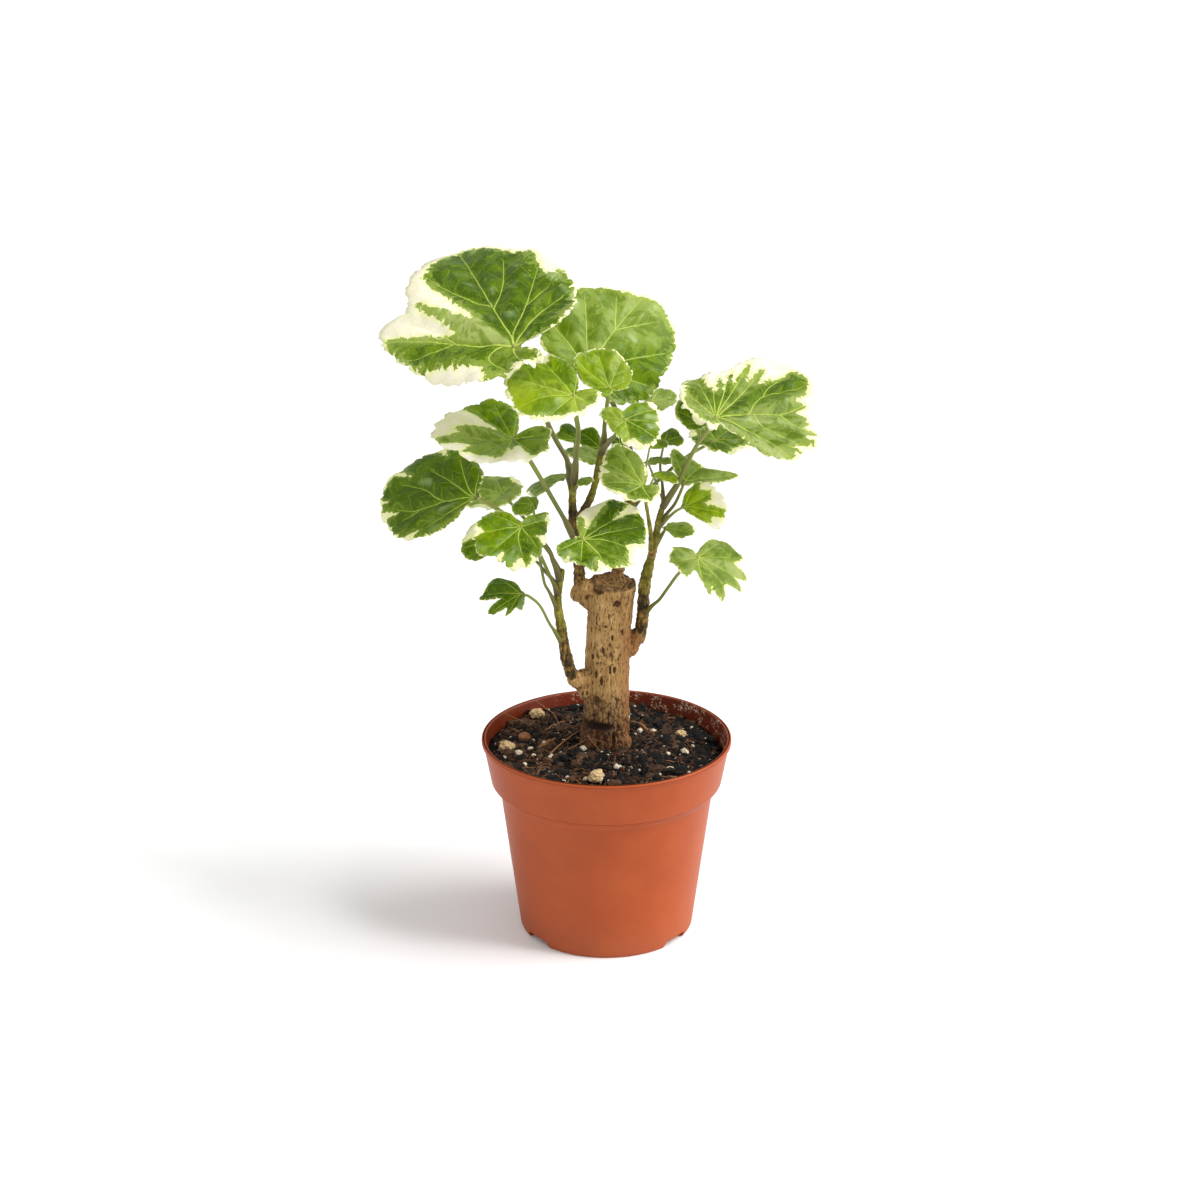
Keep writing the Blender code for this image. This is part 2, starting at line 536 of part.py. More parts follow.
def make_soil():
    """Soil filling the pot, hollowed for the channel roofs and for the foot of the cane."""
    bm = fan(SOIL_SPOKES, SOIL_RINGS)
    out = LIP_RADIUS + CUTTER_OVERRUN
    for vert in bm.verts:
        x, y = vert.co.x * out, vert.co.y * out
        vert.co = mm(x, y, soil_height(x, y))
    grown = bmesh.ops.extrude_face_region(bm, geom=list(bm.faces))
    for item in grown["geom"]:
        if isinstance(item, bmesh.types.BMVert):
            item.co.z = -0.001 * CUTTER_OVERRUN
    soil = mesh_object("soil", bm, "soil", smooth=60.0)
    fill = pot_bore("soil_limit", WALL_GAP)
    for azimuth in CHANNEL_AZIMUTHS:
        roof = wedge("soil_channel_%d" % azimuth, WALL + GAP)
        place_turned(roof, azimuth)
        boolean(fill, roof, "DIFFERENCE")
    boolean(soil, fill, "INTERSECT")
    rows = [(x, y, z, radius + GAP) for x, y, z, radius in CANE]
    rows[0] = (*rows[0][:2], SOCKET_Z, rows[0][3])
    socket = tube_mesh("cane_socket", rows, CANE_SIDES, 2)
    boolean(soil, add_object(socket.name, socket), "DIFFERENCE")


def make_cane():
    """The cut cane with the collars that its shoots spring from."""
    cane = add_object("cane", tube_mesh("cane", CANE, CANE_SIDES, 2), "bark")
    for number, (centre, radii) in enumerate(CANE_COLLARS):
        bm = bmesh.new()
        bmesh.ops.create_uvsphere(bm, u_segments=14, v_segments=8, radius=1.0)
        for vert in bm.verts:
            vert.co = mm(*(c + v * r for c, v, r in zip(centre, vert.co, radii)))
        boolean(cane, mesh_object("collar_%d" % number, bm), "UNION")


def make_shoots():
    """The woody shoots, each a tapering tube."""
    for name, rows in SHOOTS.items():
        add_object(name, tube_mesh(name, rows, SHOOT_SIDES, 3), "stem")


def make_chips():
    """Rounded stones resting a gap above the soil."""
    for name, (x, y, size) in CHIPS.items():
        bm = bmesh.new()
        bmesh.ops.create_icosphere(bm, subdivisions=2, radius=1.0)
        for vert in bm.verts:
            swell = 1.0 + CHIP_SWELL * math.sin(3.1 * vert.co.x + 2.3 * vert.co.y + x)
            round_at = vert.co * size
            vert.co = mm(round_at.x * swell, round_at.y, round_at.z * CHIP_SQUASH)
        rest = soil_height(x, y) + size * CHIP_SQUASH + 2 * GAP
        stone = mesh_object(name, bm, "pumice", smooth=80.0)
        stone.location = mm(x, y, rest)


make_pot()
make_soil()
make_cane()
make_shoots()
make_chips()
for row in LEAVES:
    make_leaf(row)
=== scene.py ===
# %% [markdown]
# # A potted aralia
#
# A variegated aralia grown from a cut cane, standing in a 12 cm plastic nursery pot. The packed
# model gives every place and size. Each cell makes one part of the plant and prints what it
# made. Lengths in the tables are millimetres, because leaves and shoots are small; the scene
# itself is in metres. Z is up, -Y is the front, and the origin is under the pot's centre.

# %% The frame
import math
import random
from typing import NamedTuple

import bmesh
import bpy
import numpy as np
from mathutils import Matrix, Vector, noise
from mathutils.geometry import delaunay_2d_cdt


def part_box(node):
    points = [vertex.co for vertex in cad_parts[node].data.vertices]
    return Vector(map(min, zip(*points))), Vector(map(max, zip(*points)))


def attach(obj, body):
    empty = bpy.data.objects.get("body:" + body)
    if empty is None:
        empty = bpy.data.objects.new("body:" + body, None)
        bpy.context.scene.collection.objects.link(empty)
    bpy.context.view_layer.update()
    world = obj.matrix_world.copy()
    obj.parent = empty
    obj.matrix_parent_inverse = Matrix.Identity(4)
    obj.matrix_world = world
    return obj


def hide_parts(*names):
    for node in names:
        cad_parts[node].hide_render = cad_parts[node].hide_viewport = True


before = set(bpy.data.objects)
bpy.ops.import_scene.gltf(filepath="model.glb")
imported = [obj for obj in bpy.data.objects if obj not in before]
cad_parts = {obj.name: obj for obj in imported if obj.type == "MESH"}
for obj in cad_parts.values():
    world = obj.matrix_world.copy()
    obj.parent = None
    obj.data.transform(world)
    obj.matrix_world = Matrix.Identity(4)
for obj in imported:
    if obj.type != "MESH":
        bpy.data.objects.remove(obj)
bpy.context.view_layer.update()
MM = 0.001

# %% [markdown]
# ## Objects and meshes
#
# Every object here is made the same way: untransformed data, linked to the scene. A mesh comes
# from rows of points, from a bmesh, or from another object with its modifiers applied. face_out
# points the faces of a closed mesh outwards.

# %% Making objects
def plain(name, data, *finishes):
    """An object at the origin with its materials."""
    piece = bpy.data.objects.new(name, data)
    bpy.context.scene.collection.objects.link(piece)
    for finish in finishes:
        data.materials.append(finish)
    return piece


def mesh_of(name, bm):
    """A new mesh from a bmesh, which is then freed."""
    mesh = bpy.data.meshes.new(name)
    bm.to_mesh(mesh)
    bm.free()
    return mesh


def face_out(mesh):
    """Point every face of a closed mesh outwards."""
    bm = bmesh.new()
    bm.from_mesh(mesh)
    bmesh.ops.recalc_face_normals(bm, faces=bm.faces)
    bm.to_mesh(mesh)
    bm.free()


def applied(piece):
    """The same object with its modifiers turned into a plain mesh."""
    view = piece.evaluated_get(bpy.context.evaluated_depsgraph_get())
    mesh = bpy.data.meshes.new_from_object(view)
    piece.modifiers.clear()
    piece.data = mesh
    return piece


def mark_points(mesh, mark, column):
    """Keep a number at each point of a mesh."""
    mesh.attributes.new(mark, "FLOAT", "POINT").data.foreach_set("value", column)


def line_mesh(name, lines, marks=()):
    """A mesh of several lines; rows are (x, y, z, then a value for each mark)."""
    mesh = bpy.data.meshes.new(name)
    rows = [row for line in lines for row in line]
    edges, start = [], 0
    for line in lines:
        edges += [(start + i, start + i + 1) for i in range(len(line) - 1)]
        start += len(line)
    mesh.from_pydata([Vector(row[:3]) * MM for row in rows], edges, [])
    for column, mark in enumerate(marks):
        scale = MM if mark == "thickness" else 1.0
        mark_points(mesh, mark, [row[3 + column] * scale for row in rows])
    return mesh


def clipped(value):
    """A number kept between 0 and 1."""
    return min(1.0, max(0.0, value))


print("one millimetre is", MM)

# %% [markdown]
# ## Camera
#
# A long lens, far off, keeps the pot's sides nearly parallel, as a catalogue view does. The
# camera looks down by twenty degrees, so the soil can be seen over the rim.

# %% Camera
CAMERA_PLACE = (-3.1, -1362.7, 675.9)
CAMERA_TILT = 20.452
LENS = 92.36
SENSOR = 36.0


def make_camera():
    """The camera, looking along +Y and tilted down."""
    data = bpy.data.cameras.new("camera")
    data.lens = LENS
    data.sensor_width = SENSOR
    camera = plain("camera", data)
    camera.location = Vector(CAMERA_PLACE) * MM
    camera.rotation_euler = (math.radians(90.0 - CAMERA_TILT), 0.0, 0.0)
    bpy.context.scene.camera = camera


make_camera()
print("lens", LENS, "mm, tilted down", CAMERA_TILT, "degrees")

# %% [markdown]
# ## Node trees as formulas
#
# Both materials and Geometry Nodes are node trees, and both do their sums with Math nodes.
# Wiring those one by one hides the formula. So one small class holds an output socket: adding
# or multiplying two of them adds the Math node, and its node() method makes any other node
# from its type, its settings, and the values or links of its inputs.

# %% Wires
class Wire:
    """An output socket. Arithmetic on it adds Math nodes to its tree."""

    def __init__(self, tree, socket=None):
        self.tree = tree
        self.socket = socket

    def node(self, kind, inputs=None, output=0, **settings):
        """Add a node: its settings are set first, then its inputs; gives one of its outputs."""
        made = self.tree.nodes.new(kind)
        for name, value in settings.items():
            setattr(made, name, value)
        for key, value in (inputs or {}).items():
            if isinstance(value, Wire):
                self.tree.links.new(value.socket, made.inputs[key])
            else:
                made.inputs[key].default_value = value
        return Wire(self.tree, made.outputs[output])

    def out(self, name):
        """Another output of the same node."""
        return Wire(self.tree, self.socket.node.outputs[name])

    def math(self, operation, first, second=0.0):
        """One Math node."""
        return self.node("ShaderNodeMath", {0: first, 1: second}, operation=operation)

    def vector(self, operation, first, second=None, output=0, **inputs):
        """One Vector Math node."""
        inputs = {0: first, **({} if second is None else {1: second}), **inputs}
        return self.node("ShaderNodeVectorMath", inputs, output, operation=operation)

    def __add__(self, other): return self.math("ADD", self, other)
    def __radd__(self, other): return self.math("ADD", other, self)
    def __sub__(self, other): return self.math("SUBTRACT", self, other)
    def __rsub__(self, other): return self.math("SUBTRACT", other, self)
    def __mul__(self, other): return self.math("MULTIPLY", self, other)
    def __truediv__(self, other): return self.math("DIVIDE", self, other)
    def __neg__(self): return self.math("MULTIPLY", self, -1.0)
    def __abs__(self): return self.math("ABSOLUTE", self)

    def least(self, other): return self.math("MINIMUM", self, other)
    def most(self, other): return self.math("MAXIMUM", self, other)
    def floor(self): return self.math("FLOOR", self)
    def part(self): return self.math("FRACT", self)

    def join(self, x, y, z):
        """A vector of three numbers."""
        return self.node("ShaderNodeCombineXYZ", {"X": x, "Y": y, "Z": z})

    def step(self, low, high):
        """0 below low, 1 above high, and smooth between them. low may be the larger."""
        return self.node("ShaderNodeMapRange", {"Value": self, "From Min": low, "From Max": high},
                         interpolation_type="SMOOTHSTEP")

    def mix(self, low, high):
        """A colour: low where this wire is 0, high where it is 1."""
        low, high = (colour(*end) if isinstance(end, tuple) else end for end in (low, high))
        return self.node("ShaderNodeMix", {0: self, 6: low, 7: high}, 2, data_type="RGBA")


def colour(red, green, blue):
    """A linear colour from the 0 to 255 values of a colour chart."""
    def linear(value):
        share = value / 255.0
        return share / 12.92 if share <= 0.04045 else ((share + 0.055) / 1.055) ** 2.4
    return (linear(red), linear(green), linear(blue), 1.0)


print("a wire knows", len([name for name in vars(Wire) if not name.startswith("_")]), "named sums")

# %% [markdown]
# Every finish here starts the same way: a Principled shader, the numbers that are the same all
# over set on its own sockets, and wires for what varies. Noise and Voronoi textures give most
# of the variation, always from the object's own coordinates or from a map that the piece
# carries, so a pattern stays on its piece.

# %% Finishes
class Finish(Wire):
    """A new material with a Principled shader, and short ways to its usual textures."""

    def __init__(self, name, **constants):
        self.material = bpy.data.materials.new(name)
        self.material.use_nodes = True
        super().__init__(self.material.node_tree)
        self.shader = self.tree.nodes["Principled BSDF"]
        for key, value in constants.items():
            self.shader.inputs[key.replace("_", " ")].default_value = value

    def place(self):
        """The object's own coordinates, in millimetres."""
        found = self.node("ShaderNodeTexCoord", output="Object")
        return self.vector("SCALE", found, Scale=1.0 / MM)

    def squeezed(self, where, up, across=1.0):
        """Coordinates multiplied by one factor along z and another across it."""
        return self.vector("MULTIPLY", where, (across, across, up))

    def noise(self, where, size, detail=3.0, rough=0.55, warp=0.0):
        """Noise whose blobs are about size millimetres across, from 0 to 1."""
        return self.node("ShaderNodeTexNoise", {
            "Vector": where, "Scale": 1.0 / size, "Detail": detail, "Roughness": rough,
            "Distortion": warp})

    def cells(self, where, size, feature="F1", output="Distance"):
        """Voronoi cells of about size millimetres."""
        return self.node("ShaderNodeTexVoronoi", {"Vector": where, "Scale": 1.0 / size}, output,
                         feature=feature)

    def carried(self, name):
        """A number that the mesh carries at each point."""
        return self.node("ShaderNodeAttribute", output="Fac", attribute_name=name)

    def split(self, where):
        """The x, y and z of a vector."""
        parts = self.node("ShaderNodeSeparateXYZ", {0: where})
        return parts, parts.out("Y"), parts.out("Z")

    def map(self, name):
        """A UV map, whole and as its two numbers."""
        found = self.node("ShaderNodeUVMap", uv_map=name)
        return (found, *self.split(found)[:2])

    def finish(self, **wires):
        """Link what varies, turn a height in millimetres into a normal, and give the material."""
        height = wires.pop("height", None)
        if height is not None:
            wires["Normal"] = self.node("ShaderNodeBump", {
                "Height": height, "Distance": MM, "Strength": 1.0})
        for key, wire in wires.items():
            self.tree.links.new(wire.socket, self.shader.inputs[key.replace("_", " ")])
        return self.material


def ramp(factor, *stops):
    """A colour ramp: stops are (place, colour)."""
    made = factor.tree.nodes.new("ShaderNodeValToRGB")
    elements = made.color_ramp.elements
    elements.remove(elements[1])
    elements[0].position, elements[0].color = stops[0][0], colour(*stops[0][1])
    for place, tint in stops[1:]:
        elements.new(place).color = colour(*tint)
    factor.tree.links.new(factor.socket, made.inputs["Fac"])
    return Wire(factor.tree, made.outputs["Color"])


print("finishes start from", Finish.__name__)

# %% [markdown]
# ## Geometry Nodes from a script
#
# A tree starts with named inputs and ends with Realize Instances and Set Material. baked() puts
# the tree on an object, sets its inputs by their identifiers before anything is evaluated, and
# returns the result as a plain mesh object.

# %% Geometry trees
SOCKET_KINDS = {float: "NodeSocketFloat", int: "NodeSocketInt", str: "NodeSocketMaterial"}


class Growth(Wire):
    """A Geometry Nodes tree with named inputs."""

    def __init__(self, name, **inputs):
        super().__init__(bpy.data.node_groups.new(name, "GeometryNodeTree"))
        face = self.tree.interface
        face.new_socket("Geometry", in_out="INPUT", socket_type="NodeSocketGeometry")
        for key, kind in inputs.items():
            face.new_socket(key, in_out="INPUT", socket_type=SOCKET_KINDS[kind])
        face.new_socket("Geometry", in_out="OUTPUT", socket_type="NodeSocketGeometry")
        self.start = self.node("NodeGroupInput")

    def given(self, name):
        """One of the tree's inputs."""
        return self.start.out(name)

    def mesh_in(self):
        """The mesh of the object that the tree is put on."""
        return self.start.out("Geometry")

    def circle(self, radius):
        """A circle of as many sides as the tree is given."""
        return self.node("GeometryNodeCurvePrimitiveCircle", {
            "Resolution": self.given("Sides"), "Radius": radius}, mode="RADIUS")

    def chance(self, seed):
        """A random number from 0 to 1 at each point."""
        return self.node("FunctionNodeRandomValue", {"Seed": seed}, 1)

    def close(self, geometry, smooth=True):
        """End the tree: realize, shade and give the material."""
        geometry = self.node("GeometryNodeRealizeInstances", {0: geometry})
        geometry = self.node("GeometryNodeSetShadeSmooth", {
            0: geometry, "Shade Smooth": smooth})
        geometry = self.node("GeometryNodeSetMaterial", {
            "Geometry": geometry, "Material": self.given("Material")})
        end = self.tree.nodes.new("NodeGroupOutput")
        self.tree.links.new(geometry.socket, end.inputs[0])
        return self


def baked(name, growth, mesh, **values):
    """The tree's result on a mesh, as a new plain object at the origin."""
    host = plain(name, mesh)
    modifier = host.modifiers.new("growth", "NODES")
    modifier.node_group = growth.tree
    for item in growth.tree.interface.items_tree:
        if item.in_out == "INPUT" and item.name in values:
            modifier[item.identifier] = values[item.name]
    return applied(host)


def settle(piece, slot, *nodes):
    """Attach a finished piece to the one body and hide the nodes it stands for; slot is not used.
    """
    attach(piece, "root")
    if nodes:
        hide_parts(*nodes)
    print(piece.name, len(piece.data.polygons), "faces")


print("trees start from", Growth.__name__)

# %% [markdown]
# ## Floor and light
#
# The plant stands on a white studio floor. A sky of even white fills every shadow, and one
# wide soft lamp on the right throws a soft shadow to the left. A smaller, harder lamp beside
# it gives the leaves their gloss, a low one lights the side of the pot, and a faint wide one
# on the left keeps the shaded leaves from going grey. All are sun lamps, because a near area
# lamp would leave the far floor darker than the near floor.

# %% Floor and light
FLOOR_REACH = 90.0
FLOOR_WHITE = (0.96, 0.96, 0.96, 1.0)
SKY = 0.56
# name: where the light comes from, softness in degrees, strength
LAMPS = {
    "key": ((1.0, -0.02, 1.0), 40.0, 1.9),
    "glint": ((0.9, -0.45, 1.15), 12.0, 0.8),
    "low_fill": ((1.0, -0.2, 0.3), 40.0, 1.3),
    "left_fill": ((-0.8, -0.6, 0.8), 60.0, 0.5),
}


def make_floor():
    """A wide flat floor under the pot."""
    bm = bmesh.new()
    bmesh.ops.create_grid(bm, x_segments=1, y_segments=1, size=FLOOR_REACH)
    white = Finish("studio_floor", Base_Color=FLOOR_WHITE, Roughness=0.9)
    plain("floor", mesh_of("floor", bm), white.finish())


def make_lamps():
    """Soft lamps so far off that the floor is lit evenly."""
    for name, (place, softness, strength) in LAMPS.items():
        lamp = bpy.data.lights.new(name, "SUN")
        lamp.angle = math.radians(softness)
        lamp.energy = strength
        made = plain(name, lamp)
        made.location = place
        made.rotation_euler = (-Vector(place)).to_track_quat("-Z", "Y").to_euler()


def make_sky():
    """An even white world."""
    world = bpy.data.worlds.new("studio")
    world.use_nodes = True
    world.node_tree.nodes["Background"].inputs["Color"].default_value = (1.0, 1.0, 1.0, 1.0)
    world.node_tree.nodes["Background"].inputs["Strength"].default_value = SKY
    bpy.context.scene.world = world
    bpy.context.scene.view_settings.view_transform = "Standard"


make_floor()
make_lamps()
make_sky()
print(len(LAMPS), "lamps")

# %% [markdown]
# ## The nursery pot
#
# The pot is injection-moulded from thin terracotta plastic: a stepped collar with a rolled lip
# above a tapering body. It is a turned shape, so one section is drawn and swept round a
# circle. Each corner of the section is rounded, with a support row on both sides of the round
# so that smooth shading stays inside it.

# %% The section
POT_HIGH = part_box("pot")[1]
POT_HEIGHT = POT_HIGH.z / MM
LIP = POT_HIGH.x / MM
LIP_INSIDE = LIP - 2.1
SUPPORT = 0.5
CORNER_STEPS = 5
# corners of the section, from the middle of the inside round the lip to the middle of the
# underside: radius, height, rounding
SECTION = (
    (0.0, 1.4, 0.0), (40.7, 3.0, 2.0), (50.2, 73.0, 1.5), (54.3, 76.6, 1.5),
    (LIP_INSIDE, POT_HEIGHT, 0.9), (LIP, POT_HEIGHT, 0.8), (LIP, POT_HEIGHT - 2.0, 0.5),
    (LIP - 0.9, POT_HEIGHT - 2.4, 0.2), (LIP - 4.5, 76.6, 0.3), (LIP - 5.2, 75.6, 0.3),
    (LIP - 8.6, 73.0, 2.0), (41.9, 1.6, 0.5), (40.8, 0.0, 0.3), (0.0, 0.0, 0.0),
)


def rounded(corners):
    """The section with each corner rounded, as (radius, height) rows."""
    rows = [corners[0][:2]]
    for before, (x, z, size), after in zip(corners, corners[1:], corners[2:]):
        here = Vector((x, z))
        back = (Vector(before[:2]) - here).normalized()
        on = (Vector(after[:2]) - here).normalized()
        rows.append(tuple(here + back * (size + SUPPORT)))
        for step in range(CORNER_STEPS + 1):
            t = step / CORNER_STEPS
            arc = back * (size * (1 - t) ** 2) + on * (size * t * t)
            rows.append(tuple(here + arc))
        rows.append(tuple(here + on * (size + SUPPORT)))
    rows.append(corners[-1][:2])
    return rows


section = rounded(SECTION)
print(len(section), "rows in the pot's section")

# %% [markdown]
# Curve to Mesh lays the section's x outwards from the circle and its y downwards, so the
# section is stored as (radius - circle, -height). The rows that reach the axis collapse to a
# point, and Merge by Distance welds them.

# %% Turning
TURN_RADIUS = 50.0
WELD = 0.02 * MM


def turning_tree():
    """Sweep the mesh's own line round a circle, and weld what meets on the axis."""
    grow = Growth("turning", Sides=int, Radius=float, Material=str)
    line = grow.node("GeometryNodeMeshToCurve", {0: grow.mesh_in()})
    circle = grow.circle(grow.given("Radius"))
    shell = grow.node("GeometryNodeCurveToMesh", {"Curve": circle, "Profile Curve": line})
    return grow.close(grow.node("GeometryNodeMergeByDistance", {
        "Geometry": shell, "Distance": WELD}))


def turned(name, rows, sides, finish):
    """A turned piece from (radius, height) rows, with its normals pointing out."""
    line = line_mesh(name, [[(radius - TURN_RADIUS, -height, 0.0) for radius, height in rows]])
    piece = baked(name, TURNING, line, Sides=sides, Radius=TURN_RADIUS * MM, Material=finish)
    face_out(piece.data)
    return piece


TURNING = turning_tree()
print("turning has", len(TURNING.tree.nodes), "nodes")

# %% [markdown]
# Moulded plastic is even in colour but not perfect. The finish has a slow mottling, fine rings
# left by the turned mould, dust that settles towards the foot, and the white lime that tap
# water leaves on the inside of the rim, thickest behind the cane on the right.
# The inside of the wall is painted a darker red, as painted shade.

# %% Terracotta plastic
def terracotta_plastic():
    """Satin terracotta plastic, with mottling, mould rings, dust and lime, and painted shade
    inside.
    """
    made = Finish("terracotta_plastic", IOR=1.46, Specular_IOR_Level=0.3)
    at = made.place()
    x, y, z = made.split(at)
    radius = made.math("SQRT", x * x + y * y)
    mottle = made.noise(at, 26.0, 4.0, 0.6)
    grain = made.noise(at, 0.9, 2.0, 0.6)
    body = ramp(mottle * 0.75 + grain * 0.25, (0.25, (154, 64, 22)),
                (0.5, (162, 71, 26)), (0.75, (171, 79, 32)))
    facing = made.node("ShaderNodeNewGeometry", output="Normal")
    flat_place = made.squeezed(at, 0.0)
    outwards = made.vector("DOT_PRODUCT", facing, flat_place, "Value")
    # the wall's inner face: painted shade there in a darker red, and the lime below
    inside = (-outwards / radius).step(0.25, 0.7)
    body = (inside * 0.8).mix(body, (98, 31, 12))
    dust = made.noise(at, 7.0, 5.0, 0.7)
    low = (24.0 - z).step(0.0, 24.0) * dust
    body = (low * 0.25).mix(body, (150, 112, 88))
    blots = made.noise(at, 6.0, 3.0, 0.6)
    specks = made.noise(at, 2.4, 2.0, 0.6, 2.5)
    corner = (x * 0.75 + y * 0.65).step(6.0, 48.0)
    lime = inside * corner * blots.step(0.47, 0.55) * specks.step(0.56, 0.60)
    lime = lime * (z - 88.0).step(0.0, 3.0)
    body = (lime * 0.9).mix(body, (238, 210, 186))
    rings = made.noise(made.squeezed(at, 1.0, 0.0), 0.8, 2.0)
    height = mottle * 0.25 + grain * 0.03 + rings * 0.012 + lime * 0.05
    rough = 0.38 + mottle * 0.10 + lime * 0.4 + low * 0.3
    return made.finish(Base_Color=body, Roughness=rough, height=height)


plastic = terracotta_plastic()
print(plastic.name, len(plastic.node_tree.nodes), "nodes")

# %% [markdown]
# Four drain channels are moulded up into the floor and out through the foot. Their roofs are
# added to the turned shell first, trimmed to its inside, and then the channels and their round
# holes are cut. The cutters are boxes with sloping sides, so Boolean modifiers fit.

# %% Drain channels
CHANNEL_AZIMUTHS = (-37.0, 37.0, 143.0, 217.0)
CHANNEL_HEIGHT = 3.6
CHANNEL_HALF_WIDTH = 9.4
CHANNEL_LEAN = 2.2
CHANNEL_START = 16.0
WALL = 1.2
HOLE_RADIUS = 3.0
HOLE_AT = 27.0
OVERRUN = 5.0
POT_SIDES = 240
FILL_SIDES = 96
# what the pot can hold, as (radius, height), to trim the channels' roofs
FILL = ((0.0, 1.0), (41.2, 1.0), (50.7, 72.8), (0.0, 72.8))


def blocks(name, grow, end):
    """The four channels as one mesh of sloping blocks, each grown by a margin."""
    bm = bmesh.new()
    for azimuth in CHANNEL_AZIMUTHS:
        made = bmesh.ops.create_cube(bm, size=1.0)["verts"]
        turn = math.radians(azimuth)
        for vert in made:
            high = vert.co.z > 0
            side = CHANNEL_HALF_WIDTH + grow - (CHANNEL_LEAN if high else 0.0)
            x = end if vert.co.x > 0 else CHANNEL_START - grow
            y = math.copysign(side, vert.co.y)
            z = CHANNEL_HEIGHT + grow if high else -OVERRUN
            vert.co = Vector((x * math.cos(turn) - y * math.sin(turn),
                              x * math.sin(turn) + y * math.cos(turn), z)) * MM
        bm.normal_update()
        sides = [edge for edge in bm.edges if set(edge.verts) <= set(made)]
        bmesh.ops.bevel(bm, geom=sides, offset=0.6 * MM, segments=3, affect="EDGES")
    return tool(name, bm)


def holes(name):
    """The four round holes as one mesh of cylinders."""
    bm = bmesh.new()
    for azimuth in CHANNEL_AZIMUTHS:
        turn = math.radians(azimuth)
        made = bmesh.ops.create_cone(bm, cap_ends=True, segments=40, radius1=HOLE_RADIUS * MM,
                                     radius2=HOLE_RADIUS * MM, depth=4.0 * OVERRUN * MM)["verts"]
        offset = Vector((math.cos(turn), math.sin(turn), 0.0)) * HOLE_AT * MM
        bmesh.ops.translate(bm, verts=made, vec=offset)
    return tool(name, bm)


def tool(name, bm):
    """A hidden cutter from a bmesh."""
    bmesh.ops.recalc_face_normals(bm, faces=bm.faces)
    return plain(name, mesh_of(name, bm))


def boolean(piece, cutter, operation):
    """Apply an exact Boolean with a cutter, and remove the cutter."""
    modifier = piece.modifiers.new(cutter.name, "BOOLEAN")
    modifier.operation = operation
    modifier.solver = "EXACT"
    modifier.object = cutter
    applied(piece)
    bpy.data.objects.remove(cutter)


def make_pot():
    """The turned shell with its channels."""
    pot = turned("nursery_pot", section, POT_SIDES, plastic)
    roofs = blocks("channel_roofs", WALL, LIP)
    boolean(roofs, turned("pot_fill", FILL, FILL_SIDES, plastic), "INTERSECT")
    boolean(pot, roofs, "UNION")
    boolean(pot, blocks("channels", 0.0, LIP), "DIFFERENCE")
    boolean(pot, holes("holes"), "DIFFERENCE")
    pot.data.materials.clear()
    pot.data.materials.append(plastic)
    pot.data.polygons.foreach_set("material_index", [0] * len(pot.data.polygons))
    pot.data.shade_smooth()
    pot.data.set_sharp_from_angle(angle=math.radians(40.0))
    settle(pot, "pot", "pot")


make_pot()

# %% [markdown]
# ## Soil
#
# Potting soil is a mound of dark, crumbly peat. The mound itself is one closed mesh, lofted
# from rings: up the well that the cane stands in, out over the mound to the wall, and down the
# wall to the channel roofs. The mound follows the packed model's height formula, and layered
# noise from mathutils breaks up its skin.

# %% The mound
SOIL_CENTRE_Z = 95.6
SOIL_EDGE_Z = 89.2
SOIL_LUMP = 0.7
SOIL_TILT = 0.03
LEVEL_RADIUS = 14.0
SOIL_SPOKES = 300
SOIL_RINGS = 84
WELL_CENTRE = -1.0
WELL_RADIUS = 11.1
WELL_FLOOR = 52.0
SOIL_FLOOR = 5.4
RIM_REACH = 57.0
# (radius, height) down the inside of the pot's wall
WALL_SLOPE = ((57.3, 96.0), (54.0, 76.8), (49.9, 73.0), (40.9, SOIL_FLOOR))


def soil_height(x, y):
    """The mounded soil's height, as in the packed model."""
    radius = math.hypot(x, y)
    share = min(1.0, radius / LIP_INSIDE)
    mound = SOIL_CENTRE_Z + (SOIL_EDGE_Z - SOIL_CENTRE_Z) * share ** 1.6
    lump = math.sin(0.21 * x + 1.3) * math.cos(0.17 * y - 0.4)
    lump += 0.6 * math.sin(0.11 * x - 0.29 * y)
    tilt = (y - x) * SOIL_TILT * share
    between = (radius - LEVEL_RADIUS) / (LIP_INSIDE - LEVEL_RADIUS)
    return mound + tilt + SOIL_LUMP * lump * math.sin(math.pi * clipped(between))


def crumble(x, y):
    """Height of the soil's clods and crumbs above the even mound."""
    clods = noise.fractal(Vector((x, y, 3.0)) * 0.16, 1.0, 2.0, 3)
    crumbs = noise.fractal(Vector((x, y, 9.0)) * 0.55, 0.8, 2.1, 4)
    return 1.7 * clods + 1.15 * abs(crumbs)


def soil_skin(x, y):
    """The height of the soil's skin."""
    return soil_height(x, y) + crumble(x, y)


def wall_radius(z):
    """The soil's outer radius at a height, a hair inside the pot's wall."""
    radii, heights = zip(*reversed(WALL_SLOPE))
    return float(np.interp(z, heights, radii))


print("soil from", soil_height(0.0, 0.0), "down to", round(soil_height(40.0, -40.0), 1), "mm")

# %% [markdown]
# Lofting joins rings of the same number of points with quads, and closes both ends with a fan.

# %% Lofting
def loft(name, rings):
    """A closed mesh from rings of equal length, in millimetres, with a fan at each end."""
    bm = bmesh.new()
    rows = [[bm.verts.new(Vector(point) * MM) for point in ring] for ring in rings]
    for low, high in zip(rows, rows[1:]):
        for i, vert in enumerate(low):
            after = (i + 1) % len(low)
            bm.faces.new((vert, low[after], high[after], high[i]))
    for row in (rows[0], rows[-1]):
        hub = bm.verts.new(sum((vert.co for vert in row), Vector()) / len(row))
        for i, vert in enumerate(row):
            bm.faces.new((vert, row[(i + 1) % len(row)], hub))
    bmesh.ops.recalc_face_normals(bm, faces=bm.faces)
    mesh = mesh_of(name, bm)
    mesh.shade_smooth()
    return mesh


